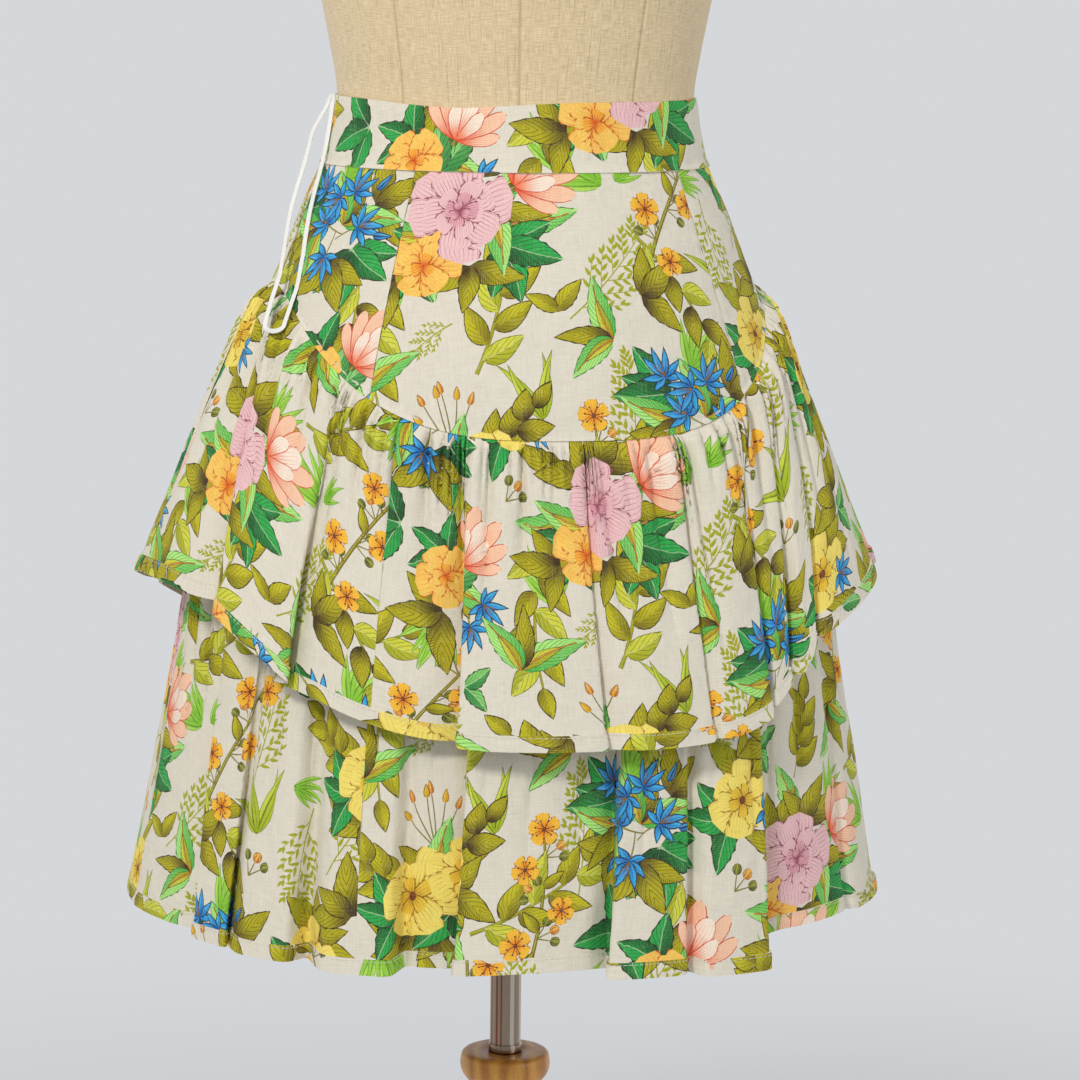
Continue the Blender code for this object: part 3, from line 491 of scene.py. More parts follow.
    def primrose(self, x, y, angle, size=1.0):
        s = size
        self.rosette(x, y, [
            (6, 26 * s, 12.2 * s, 0, FAN, "primrose"),
            (5, 18 * s, 9.0 * s, 0, FAN, "primrose"),
            (5, 11 * s, 5.2 * s, 0, FAN, "primrose_heart"),
        ], angle)
        self.blade(2, x - 2.6 * s, y, 0, 5.2 * s, 2.6 * s, ROUND, "heart", 0, 7)

    def magnolia(self, x, y, angle, size=1.0):
        s = size
        for turn, length, half, bend, look in (
                (-74, 30, 6.2, 0.22, "magnolia"), (72, 31, 6.2, -0.22, "magnolia"),
                (-46, 38, 7.4, 0.14, "magnolia"), (44, 38, 7.4, -0.14, "magnolia"),
                (-18, 43, 8.0, 0.06, "magnolia"), (20, 42, 8.0, -0.06, "magnolia"),
                (0, 34, 8.4, 0.03, "magnolia_front"), (-34, 25, 6.6, 0.2, "magnolia_front"),
                (34, 24, 6.4, -0.2, "magnolia_front")):
            self.blade(2, x, y, angle + turn, length * s, half * s, PETAL, look, bend, 9)
        self.blade(2, x, y, angle + 180, 5 * s, 3.2 * s, BUD, "bud_green", 0, 6)

    def lily(self, x, y, angle, size=1.0):
        s = size
        self.stem(0, x, y, angle + 180, 16 * s, 0.6, 0.2)
        for turn, length in ((-128, 11), (126, 11), (-84, 14), (82, 14), (-42, 16), (40, 16), (0, 17)):
            self.blade(2, x, y, angle + turn + self.vary(6), length * s, 2.5 * s, LANCE, "lily",
                       0.18 * (1 if turn < 0 else -1), 7)
        for turn in (-20, 4, 24):
            self.blade(2, x, y, angle + turn, 8.5 * s, 0.35, STEM, "gold", 0.0, 3)

    def blossom(self, x, y, angle, size=1.0):
        s = size
        for k in range(5):
            a = angle + 72 * k + self.vary(5)
            self.blade(2, x + 0.8 * math.cos(math.radians(a)), y + 0.8 * math.sin(math.radians(a)), a,
                       9.4 * s, 5.0 * s, FAN, "blossom", 0, 8, 3, 0.10)
        for k in range(7):
            a = angle + 51.4 * k + 20
            self.blade(2, x, y, a, 5.2 * s, 0.32, STEM, "stamen", 0, 2)
            self.blade(2, x + 5 * s * math.cos(math.radians(a)), y + 5 * s * math.sin(math.radians(a)), a,
                       1.3, 0.65, ROUND, "stamen", 0, 4)
        self.blade(2, x - 1.4 * s, y, 0, 2.8 * s, 1.4 * s, ROUND, "heart", 0, 5)

    def blossom_branch(self, x, y, angle, size=1.0, bend=0.25, flowers=4):
        length = size * (30 + 21 * flowers)
        at = self.stem(0, x, y, angle, length, 1.5, bend, "twig", 10)
        for k in range(flowers):
            side = 1 if k % 2 else -1
            px, py, pa = at(0.16 + 0.8 * k / flowers)
            twig = self.stem(0, px, py, pa + side * 56, size * 14, 0.8, 0.1 * side, "twig", 4)
            tx, ty, ta = twig(1.0)
            self.blossom(tx, ty, ta + 36, size * (0.95 + self.vary(0.1)))
            px, py, pa = at(0.27 + 0.8 * k / flowers)
            self.round_buds(px, py, pa - side * 58, size, 3)
        px, py, pa = at(1.0)
        self.blossom(px, py, pa, size)
        self.blade(1, *at(0.5)[:2], at(0.5)[2] + 40, 17, 4.2, LEAF, "olive", 0.1, 8)
        self.blade(1, *at(0.72)[:2], at(0.72)[2] - 44, 16, 4.0, LEAF, "olive", -0.1, 8)

    # ---- result
    def outlines(self):
        """Arrays of parameters and the outline of every blade, lowest first."""
        rows = [b for layer in self.layers for b in layer]
        params = np.array([r[:8] for r in rows], float)
        outlines = []
        for x, y, a, length, half, bend, kind, look, points, teeth, depth in rows:
            blunt = kind == STEM
            if teeth:
                points = max(points, 2 * teeth)
            t = np.linspace(0, 1, points + 1)
            if not (blunt or teeth):
                # closer points at both ends
                t = (1 - np.cos(np.pi * np.arange(points + 1) / points)) / 2 * 0.5 + 0.5 * t
            h = half * profile(np.full(len(t), kind), t)
            if teeth:
                h = h * (1 + depth * (np.arange(len(t)) % 2 * 2 - 1) * np.sin(np.pi * t))
            u, c = length * t, bend * length * t * t
            upper = np.stack([u, c + h], 1)
            lower = np.stack([u, c - h], 1)[::-1]
            if not blunt:
                upper, lower = upper[:-1], lower[:-1]
            loop = np.concatenate([upper, lower])[::-1]          # counter-clockwise
            ca, sa = math.cos(a), math.sin(a)
            outlines.append(np.stack([x + loop[:, 0] * ca - loop[:, 1] * sa,
                                      y + loop[:, 0] * sa + loop[:, 1] * ca], 1))
        return params, outlines


TILE_W, TILE_H = 300.0, 340.0
CELL = 5.0                         # of the grid on which bare ground is looked for
MOST_FILLS, LEAST_ROOM, WIDE_ROOM = 110, 12, 19


def design_print():
    """The repeat: bouquets at fixed places, then sprigs wherever bare ground is widest."""
    p = Print(11)
    # stems that tie the bouquets together
    p.meander(92, 150, 62, 92, 0.24, 8)
    p.meander(196, 232, -40, 88, -0.22, 7, 1.0, "olive_dark")
    p.meander(120, 60, 20, 96, 0.18, 8)
    p.meander(36, 226, 250, 84, 0.3, 7)
    p.meander(262, 96, -70, 78, -0.28, 6, 0.95, "olive_dark")
    p.meander(150, 300, 8, 80, 0.24, 7)
    # bouquet of a large pink flower, an orange rose and a coral one
    p.mint_leaf(66, 240, 196, 1.05, -0.3)
    p.mint_leaf(88, 266, 92, 1.05, 0.32)
    p.mint_leaf(116, 240, -8, 0.9, 0.3)
    p.long_leaf(60, 262, 140, 1.05, 0.2)
    p.olive_cluster(70, 266, 118, 1.0, 3)
    p.emerald_cluster(112, 228, -42, 1.05, 4)
    p.emerald_cluster(58, 226, 224, 0.9, 3)
    p.long_leaf(104, 270, 40, 0.95, -0.25)
    p.olive_cluster(92, 216, -86, 0.9, 3)
    p.fresh_spray(120, 282, 64, 0.9, 6)
    p.magnolia(122, 262, 28, 1.0)
    p.rose(64, 220, 10, 1.05)
    p.peony(88, 250, 15, 1.0)
    # blue cluster with dark leaves
    p.emerald_cluster(212, 138, 200, 1.05, 5)
    p.emerald_cluster(250, 112, -60, 1.0, 4)
    p.olive_cluster(214, 112, 240, 0.95, 3)
    p.olive_cluster(256, 142, 24, 0.9, 3)
    p.fresh_spray(226, 154, 60, 1.1, 7)
    for x, y, a in ((222, 126, 150), (238, 148, 70), (250, 126, 20),
                    (230, 104, 250), (208, 148, 120), (226, 142, 210)):
        p.lily(x, y, a, 1.12)
    for x, y, a in ((254, 150, 50), (212, 104, 230), (262, 122, 0)):
        p.blade(2, x, y, a, 14, 2.5, BUD, "lily_bud", 0.1, 6)
    # yellow flowers with olive leaves
    p.olive_sprig(84, 92, 30, 1.05, 3, 0.2, "olive_dark")
    p.olive_sprig(56, 84, 160, 1.0, 3, -0.2)
    p.olive_cluster(60, 58, 236, 1.0, 4)
    p.olive_cluster(104, 84, -12, 0.95, 3)
    p.long_leaf(76, 58, 278, 1.0, 0.22)
    p.mint_leaf(92, 68, -38, 0.95, -0.3)
    p.bud_stalk(74, 108, 100, 1.05, 6)
    p.primrose(60, 78, 0, 1.08)
    p.primrose(92, 94, 30, 0.86)
    # flowering branches
    p.blossom_branch(196, 196, 72, 1.05, -0.22, 5)
    p.blossom_branch(146, 4, 66, 1.0, 0.3, 4)
    p.grass(268, 208, 98, 1.1, 5, 0.9)
    p.grass(130, 120, 100, 1.0, 4, 0.9)
    p.broad_pair(18, 150, 70, 1.0)
    p.broad_pair(176, 168, 160, 0.9)
    # more foliage behind the flowers
    p.broad_pair(70, 236, 205, 1.0)
    p.broad_pair(104, 252, -24, 1.0)
    p.olive_cluster(96, 272, 74, 1.05, 3)
    p.olive_cluster(46, 214, 190, 0.95, 3)
    p.broad_pair(236, 126, 60, 1.0)
    p.broad_pair(218, 122, 214, 0.95)
    p.olive_cluster(238, 104, 280, 1.0, 3)
    p.broad_pair(76, 84, 128, 1.0)
    p.emerald_cluster(84, 70, -70, 0.9, 3)
    p.emerald_cluster(46, 70, 180, 0.85, 3)
    p.broad_pair(264, 30, 20, 0.9)
    p.emerald_cluster(252, 44, 140, 0.85, 3)
    p.olive_cluster(196, 196, 30, 0.9, 3)
    p.olive_cluster(156, 20, 150, 0.9, 3)
    p.feather(150, 180, 40, 1.2, 0.14, 5)
    p.feather(30, 20, 60, 1.2, -0.14, 5)
    p.feather(186, 78, 84, 1.2, 0.12, 5)
    p.fresh_spray(40, 190, 100, 1.1, 8)
    p.fresh_spray(176, 262, 150, 1.1, 7)
    # a second, smaller bouquet
    p.emerald_cluster(268, 22, 110, 1.0, 4, "emerald_pale")
    p.olive_cluster(250, 10, 210, 1.0, 3)
    p.fresh_spray(250, 6, 250, 1.0, 6)
    p.magnolia(278, 42, 60, 0.9)
    p.rose(252, 32, 40, 0.95)
    p.lily(294, 18, -30, 1.05)
    p.lily(286, 4, -80, 0.95)
    # a third of yellow and blue by the edge
    p.olive_cluster(18, 316, 60, 1.0, 4)
    p.emerald_cluster(8, 296, 190, 0.9, 3)
    p.primrose(16, 306, 20, 0.9)
    p.lily(34, 298, -20, 1.0)

    columns, rows = int(TILE_W / CELL), int(TILE_H / CELL)
    covered = np.zeros((columns, rows), bool)
    done = [0, 0, 0]

    def mark():
        """Marks the cells under the blades that were added since the last call."""
        spots = []
        for layer, blades in enumerate(p.layers):
            for x, y, a, length, half, bend in (row[:6] for row in blades[done[layer]:]):
                t, q = np.meshgrid(np.linspace(0.05, 0.98, max(3, int(length / 3))), (-0.6, 0.0, 0.6))
                u, c = length * t, bend * length * t * t + q * half * np.sin(np.pi * t) ** 0.6
                spots.append(np.stack([x + u * math.cos(a) - c * math.sin(a),
                                       y + u * math.sin(a) + c * math.cos(a)], -1).reshape(-1, 2))
            done[layer] = len(blades)
        if spots:
            spots = np.concatenate(spots)
            tile = np.floor(spots[:, 0] / TILE_W).astype(int)
            i = ((spots[:, 0] - tile * TILE_W) / CELL).astype(int) % columns
            j = (((spots[:, 1] - tile % 2 * TILE_H / 2) % TILE_H) / CELL).astype(int) % rows
            covered[i, j] = True

    def bare():
        """The bare cell that lies farthest from the print, and about how far."""
        full = np.concatenate([covered, np.roll(covered, rows // 2, axis=1)])
        distance = 0
        while True:
            grown = full.copy()
            for axis in (0, 1):
                grown |= np.roll(full, 1, axis) | np.roll(full, -1, axis)
            if distance % 2:
                for i in (-1, 1):
                    for j in (-1, 1):
                        grown |= np.roll(full, (i, j), (0, 1))
            if grown[:columns].all():
                left = np.argwhere(~full[:columns])
                if len(left) == 0:
                    return 0.0, None
                return (distance + 1) * CELL, (left[0] + 0.5) * CELL
            full = grown
            distance += 1

    # what fills a bare place: the motif, how far behind the place it starts, its other values
    wide = ((p.feather, 24, 1.1, 0.12, 4), (p.olive_sprig, 26, 1.0, 3, 0.16), (p.fresh_spray, 17, 1.1, 7),
            (p.olive_cluster, 12, 1.0, 4), (p.broad_pair, 18, 0.95), (p.emerald_cluster, 12, 0.9, 3))
    narrow = ((p.feather, 13, 0.62, 0.12, 3), (p.olive_cluster, 8, 0.62, 2, "olive"), (p.fresh_spray, 10, 0.7, 5),
              (p.round_buds, 6, 1.1, 3), (p.emerald_cluster, 8, 0.55, 2, "emerald_pale"))
    for turn in range(MOST_FILLS):
        mark()
        room, spot = bare()
        if room < LEAST_ROOM:
            break
        x, y = spot
        a = p.random.uniform(0, 360)
        ca, sa = math.cos(math.radians(a)), math.sin(math.radians(a))
        choices = wide if room > WIDE_ROOM else narrow
        draw, back, *values = choices[turn % len(choices)]
        draw(x - back * ca, y - back * sa, a, *values)
    return p.outlines()


PRINT_PARAMS, PRINT_LOOPS = design_print()
PRINT_LO = np.array([loop.min(0) for loop in PRINT_LOOPS])
PRINT_HI = np.array([loop.max(0) for loop in PRINT_LOOPS])
PRINT_SCALE = 1.1
MM = 1000                          # the print's units in a metre


def print_over(low, high, offset, turn=0.0):
    """Blades that reach a flat rectangle, as (params, loops) in metres on that panel."""
    offset = np.array(offset)
    corners = np.array([(x, y) for x in (low[0], high[0]) for y in (low[1], high[1])]) * MM / PRINT_SCALE
    back = np.stack(turned(*corners.T, -turn), 1) + offset
    lo, hi = back.min(0), back.max(0)
    params, loops = [], []
    for i in range(math.floor(lo[0] / TILE_W) - 1, math.ceil(hi[0] / TILE_W) + 1):
        for j in range(math.floor(lo[1] / TILE_H) - 2, math.ceil(hi[1] / TILE_H) + 1):
            shift = np.array([i * TILE_W, j * TILE_H + (i % 2) * TILE_H / 2])
            near = np.flatnonzero(((PRINT_HI + shift) > lo).all(1) & ((PRINT_LO + shift) < hi).all(1))
            for k in near:
                loop = np.stack(turned(*(PRINT_LOOPS[k] + shift - offset).T, turn), 1) * PRINT_SCALE / MM
                if (loop.max(0) < low).any() or (loop.min(0) > high).any():
                    continue
                row = PRINT_PARAMS[k].copy()
                row[:2] = np.array(turned(*(row[:2] + shift - offset), turn)) * PRINT_SCALE / MM
                row[2] += turn
                row[3:5] *= PRINT_SCALE / MM
                params.append(row)
                loops.append(loop)
    return np.array(params).reshape(-1, 8), loops


# ================================================================ panels
def inside(points, loop):
    """Which points lie inside a closed loop."""
    x, y = points.T
    result = np.zeros(len(points), bool)
    for (x0, y0), (x1, y1) in zip(loop, np.roll(loop, -1, 0)):
        if y0 != y1:
            result ^= ((y0 > y) != (y1 > y)) & (x < (x1 - x0) * (y - y0) / (y1 - y0) + x0)
    return result


def inset(loop, distance):
    """A closed loop (counter-clockwise) moved inwards."""
    t = unit(np.roll(loop, -1, 0) - np.roll(loop, 1, 0))
    return loop + np.stack([-t[:, 1], t[:, 0]], 1) * distance


def resample(loop, step):
    """Points at an even spacing round a closed loop, its sharp corners kept."""
    out = []
    for a, b in zip(loop, np.roll(loop, -1, 0)):
        count = max(1, int(round(np.linalg.norm(b - a) / step)))
        out.extend(a + (b - a) * i / count for i in range(count))
    return np.array(out)


def scattered(low, high, step_x, step_y, shifts):
    """Rows of points over a flat rectangle, shifted in turn by two shares of a step."""
    rows = []
    for r, y in enumerate(np.arange(low[1] + step_y / 2, high[1], step_y)):
        xs = np.arange(low[0] + step_x * shifts[r % 2], high[0], step_x)
        rows.append(np.stack([xs, np.full(len(xs), y)], 1))
    return np.concatenate(rows) if rows else np.zeros((0, 2))


def triangulated(points, faces):
    """Counter-clockwise triangles inside the first face, and the last face that each is part of.

    The owner counts from the second face, so that -1 stands for none of the others.
    """
    result = delaunay_2d_cdt([Vector(v) for v in points.tolist()], [], faces, 0, 1e-7, True)
    flat = np.array([tuple(v) for v in result[0]])
    kept = [(face, max(origins) - 1) for face, origins in zip(result[2], result[5])
            if 0 in origins and len(face) == 3]
    triangles, owners = (np.array(values) for values in zip(*kept))
    a, b, c = (flat[triangles[:, k]] for k in range(3))
    flip = ((b[:, 0] - a[:, 0]) * (c[:, 1] - a[:, 1]) - (b[:, 1] - a[:, 1]) * (c[:, 0] - a[:, 0])) < 0
    triangles[flip] = triangles[flip][:, ::-1]
    used = np.unique(triangles)
    renumber = np.full(len(flat), -1)
    renumber[used] = np.arange(len(used))
    return flat[used], renumber[triangles], owners


def new_object(name, mesh, *materials):
    obj = bpy.data.objects.new(name, mesh)
    bpy.context.scene.collection.objects.link(obj)
    for material in materials:
        mesh.materials.append(material)
    return obj


def put(obj, slot, *nodes):
    """Puts a piece on the root body and hides the CAD nodes that it stands for; the slot is not used."""
    if nodes:
        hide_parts(*nodes)
    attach(obj, ROOT)


def uv_map(mesh, name, values):
    mesh.uv_layers.new(name=name).data.foreach_set("uv", np.array(values, np.float32).ravel())


def attribute(mesh, name, domain, values):
    """Stores numbers, vectors or colours, which have one, three or four columns."""
    kind, key = {1: ("FLOAT", "value"), 3: ("FLOAT_VECTOR", "vector"), 4: ("FLOAT_COLOR", "color")}[values.shape[1]]
    mesh.attributes.new(name, kind, domain).data.foreach_set(key, np.array(values, np.float32).ravel())


def shaped(name, verts, faces, uvs=None, bake=None):
    """A smooth mesh from points and faces, with its maps."""
    mesh = bpy.data.meshes.new(name)
    mesh.from_pydata(verts, [], faces)
    for layer, values in (("Cloth", uvs), ("OFBake", bake)):
        if values is not None:
            uv_map(mesh, layer, values)
    mesh.shade_smooth()
    return mesh


OUTLINE_SHARE = 1.35               # drawn outlines are this much wider than the table says
LOOK_TABLE = np.array([[*linear(v[0]), *linear(v[1]), *linear(v[2]), OUTLINE_SHARE * v[3], *v[4:]]
                       for v in LOOKS.values()], float)
# columns of LOOK_TABLE that each vector attribute carries; 19 is added: 1 on a printed face; 20 is empty
LOOK_VECTORS = {"lines": (19, 9, 10),        # printed, outline, rib
                "strokes": (11, 12, 13),     # chevrons, slope, streaks
                "weights": (14, 15, 18),     # weight, taper, hatch
                "blend": (16, 17, 20)}       # by_length, by_side
INSIDE_ROWS = 0.0008               # from the last row beside the edge to the points inside
SCATTER = 0.00012                  # keeps points off straight lines
LEAST_WIDTH = 0.0002


def print_attributes(mesh, count, flat, triangles, owners, params):
    """The look of each of count faces, and the place of each corner on its blade."""
    looks = np.zeros((count, LOOK_TABLE.shape[1] + 2))
    blade_at = np.zeros((count, 3, 3))
    has = np.flatnonzero(owners >= 0)
    if len(has):
        own = params[owners[has]]
        looks[has, :-2] = LOOK_TABLE[own[:, 7].astype(int)]
        looks[has, -2] = 1.0
        bx, by, angle, length, half, bend, kind = (own[:, k:k + 1] for k in range(7))
        corners = flat[triangles[has]]
        dx, dy = corners[:, :, 0] - bx, corners[:, :, 1] - by
        ca, sa = np.cos(angle), np.sin(angle)
        lx, ly = dx * ca + dy * sa, -dx * sa + dy * ca
        p = lx / length
        width = half * profile(np.repeat(kind, 3, 1), p)
        q = np.clip((ly - bend * length * p * p) / np.maximum(width, LEAST_WIDTH), -1.3, 1.3)
        blade_at[has] = np.stack([np.clip(p, 0, 1), q, width * MM], -1)
    attribute(mesh, "blade", "CORNER", blade_at.reshape(-1, 3))
    for k, colour in enumerate(("tone_a", "tone_b", "ink")):
        attribute(mesh, colour, "FACE", np.concatenate([looks[:, 3 * k:3 * k + 3], np.ones((count, 1))], 1))
    for name, columns in LOOK_VECTORS.items():
        attribute(mesh, name, "FACE", looks[:, columns])


def cloth_panel(name, outline, place, materials, offset=(0.0, 0.0), turn=0.0, spacing=(0.004, 0.008),
                fine=None, thickness=CLOTH, printed=True, edge_rows=(0.0011, 0.0026), columns=None):
    """A printed shell from its flat pattern.

    outline: closed loop of flat points (x right, y up), counter-clockwise, with a
    point every few millimetres.  place: function of x and y arrays that gives points
    and normals.  fine: function of points that says where the mesh is finer.
    columns: more points, which follow creases.
    """
    low, high = outline.min(0), outline.max(0)
    params, loops = print_over(low, high, offset, turn) if printed else (np.zeros((0, 8)), [])
    sx, sy = spacing
    grid = scattered(low, high, sx, sy, (0.25, 0.5))
    if fine is not None:
        extra = scattered(low, high, sx * 0.5, sy * 0.6, (0.0, 0.5))
        grid = np.concatenate([grid[~fine(grid)], extra[fine(extra)]])
    if columns is not None:
        grid = np.concatenate([grid, columns])
    grid = grid[inside(grid, inset(outline, (edge_rows[-1] if edge_rows else 0.0) + INSIDE_ROWS))]
    grid += np.random.default_rng(5).uniform(-1, 1, grid.shape) * SCATTER
    points = [outline, *(inset(outline, d) for d in edge_rows), grid]
    whole = list(range(len(outline)))
    base = np.cumsum([sum(map(len, points)), *map(len, loops)])
    faces = [whole, *(list(range(a, b)) for a, b in zip(base, base[1:]))]
    flat, triangles, owners = triangulated(np.concatenate([*points, *loops]), faces)
    # the reverse is a plainer mesh of the same panel
    close = np.zeros(len(grid), bool) if fine is None else fine(grid)
    back_flat, back_tris, _ = triangulated(np.concatenate([outline, grid[close], grid[~close][::2]]), [whole])
    front, normals = place(*flat.T)
    back, back_normals = place(*back_flat.T)
    # the rim joins them
    rim, rim_normals = place(*outline.T)
    n_rim, rim_start = len(outline), len(flat) + len(back_flat)
    i = np.arange(n_rim)
    a, b = rim_start + i, rim_start + (i + 1) % n_rim
    rim_tris = np.concatenate([np.stack([a, a + n_rim, b], 1), np.stack([b, a + n_rim, b + n_rim], 1)])
    rim_out = unit(np.cross(np.roll(rim, -1, 0) - np.roll(rim, 1, 0), rim_normals))
    co = np.concatenate([front, back - back_normals * thickness, rim, rim - rim_normals * thickness])
    no = np.concatenate([normals, -back_normals, rim_out, rim_out])
    tris = np.concatenate([triangles, back_tris[:, ::-1] + len(flat), rim_tris])
    corner_of = tris.ravel()
    part = np.repeat((0, 1, 2), (len(triangles), len(back_tris), len(rim_tris)))       # front, reverse, rim

    mesh = bpy.data.meshes.new(name)
    mesh.vertices.add(len(co))
    mesh.vertices.foreach_set("co", co.astype(np.float32).ravel())
    mesh.loops.add(len(corner_of))
    mesh.loops.foreach_set("vertex_index", corner_of.astype(np.int32))
    mesh.polygons.add(len(tris))
    mesh.polygons.foreach_set("loop_start", np.arange(0, len(corner_of), 3, dtype=np.int32))
    mesh.polygons.foreach_set("material_index", (part == 1).astype(np.int32))
    mesh.update(calc_edges=True)
    mesh.shade_smooth()

    # flat coordinates: in metres, and packed into one square with the reverse above the front
    all_flat = np.concatenate([flat, back_flat, outline, outline])[corner_of]
    uv_map(mesh, "Cloth", all_flat)
    size = np.maximum(high - low, 1e-6)
    uv = (all_flat - low) / size
    if size[1] > size[0]:
        uv = uv[:, ::-1]
    part = np.repeat(part, 3)
    packed = np.stack([0.002 + 0.996 * uv[:, 0],
                       np.where(part == 0, 0.002 + 0.796 * uv[:, 1], 0.804 + 0.16 * uv[:, 1])], 1)
    # the rim is a strip along the top
    round_at = np.r_[np.zeros(rim_start), i / n_rim, i / n_rim][tris]
    wraps = np.ptp(round_at, 1) > 0.5
    round_at[wraps] += round_at[wraps] < 0.5
    on_rim = part == 2
    packed[on_rim, 0] = 0.002 + 0.99 * round_at.ravel()[on_rim] * n_rim / (n_rim + 1)
    packed[on_rim, 1] = 0.974 + 0.02 * (corner_of[on_rim] >= rim_start + n_rim)
    uv_map(mesh, "OFBake", packed)

    print_attributes(mesh, len(tris), flat, triangles, owners, params)
    mesh.normals_split_custom_set_from_vertices(no.astype(np.float32).tolist())
    obj = new_object(name, mesh, *materials)
    obj["flat_size"] = size.tolist()
    x, y = outline.T
    obj["flat_area"] = float(abs(np.dot(x, np.roll(y, -1)) - np.dot(y, np.roll(x, -1))) / 2)
    return obj


# ================================================================ materials
class Value:
    """A socket of a node tree; arithmetic on it adds Math nodes."""

    def __init__(self, nodes, socket):
        self.nodes, self.socket = nodes, socket

    def __add__(self, other):
        return self.nodes.math("ADD", self, other)

    def __sub__(self, other):
        return self.nodes.math("SUBTRACT", self, other)

    def __rsub__(self, other):
        return self.nodes.math("SUBTRACT", other, self)

    def __mul__(self, other):
        return self.nodes.math("MULTIPLY", self, other)

    def __lt__(self, other):
        return self.nodes.math("LESS_THAN", self, other)

    def __gt__(self, other):
        return self.nodes.math("GREATER_THAN", self, other)

    def __abs__(self):
        return self.nodes.math("ABSOLUTE", self)

    def fraction(self):
        return self.nodes.math("FRACT", self)

    def affine(self, factor, addend):
        return self.nodes.math("MULTIPLY_ADD", self, factor, addend)


class Nodes:
    """Short names for building the node tree of a material or a world."""

    def __init__(self, owner):
        owner.use_nodes = True
        self.owner, self.tree = owner, owner.node_tree
        self.tree.nodes.clear()

    def link(self, source, target):
        if isinstance(source, Value):
            self.tree.links.new(source.socket, target)
        elif isinstance(source, tuple) and target.type == "RGBA":
            target.default_value = (*source, 1.0)
        else:
            target.default_value = source

    def node(self, kind, feeds=(), **settings):
        """A node with its settings; feeds are pairs of an input and a value or a Value."""
        node = self.tree.nodes.new(kind)
        for key, value in settings.items():
            setattr(node, key, value)
        for key, value in feeds:
            if value is not None:
                self.link(value, node.inputs[key])
        return node

    def value(self, kind, feeds=(), output=0, **settings):
        return Value(self, self.node(kind, feeds, **settings).outputs[output])

    def math(self, operation, a, b=None, c=None, clamp=False):
        return self.value("ShaderNodeMath", enumerate((a, b, c)), operation=operation, use_clamp=clamp)

    def blend(self, factor, a, b, mode="MIX"):
        return self.value("ShaderNodeMix", ((0, factor), (6, a), (7, b)), 2, data_type="RGBA", blend_type=mode)

    def step(self, value, low, high):
        """0 below low, 1 above high, smooth between."""
        return self.value("ShaderNodeMapRange", enumerate((value, low, high)), interpolation_type="SMOOTHSTEP")

    def scaled(self, vector, scale):
        return self.value("ShaderNodeMapping", (("Vector", vector), ("Scale", scale)))

    def noise(self, vector, scale, detail=2.0, rough=0.5):
        return self.value("ShaderNodeTexNoise", (("Vector", self.scaled(vector, scale)), ("Scale", 1.0),
                                                 ("Detail", detail), ("Roughness", rough)))

    def cloth_map(self):
        return self.value("ShaderNodeUVMap", uv_map="Cloth")

    def place(self, kind="Object"):
        return self.value("ShaderNodeTexCoord", output=kind)

    def attribute(self, name, output="Vector"):
        return self.value("ShaderNodeAttribute", output=output, attribute_name=name)

    def split(self, vector):
        return [Value(self, socket) for socket in self.node("ShaderNodeSeparateXYZ", ((0, vector),)).outputs]

    def bump(self, height, strength, distance, normal=None):
        return self.value("ShaderNodeBump", (("Strength", strength), ("Distance", distance), ("Height", height),
                                             ("Normal", normal)))


class Surfacing(Nodes):
    """Nodes of a new material, with a Principled shader on its output."""

    def __init__(self, name):
        super().__init__(bpy.data.materials.new(name))
        self.out, self.shader = self.node("ShaderNodeOutputMaterial"), self.node("ShaderNodeBsdfPrincipled")
        self.link(Value(self, self.shader.outputs[0]), self.out.inputs[0])

    def finish(self, colour, roughness, normal=None, **settings):
        settings = {"Base_Color": colour, "Roughness": roughness, "Normal": normal, **settings}
        for key, value in settings.items():
            if value is not None:
                self.link(value, self.shader.inputs[key.replace("_", " ")])
        return self.owner


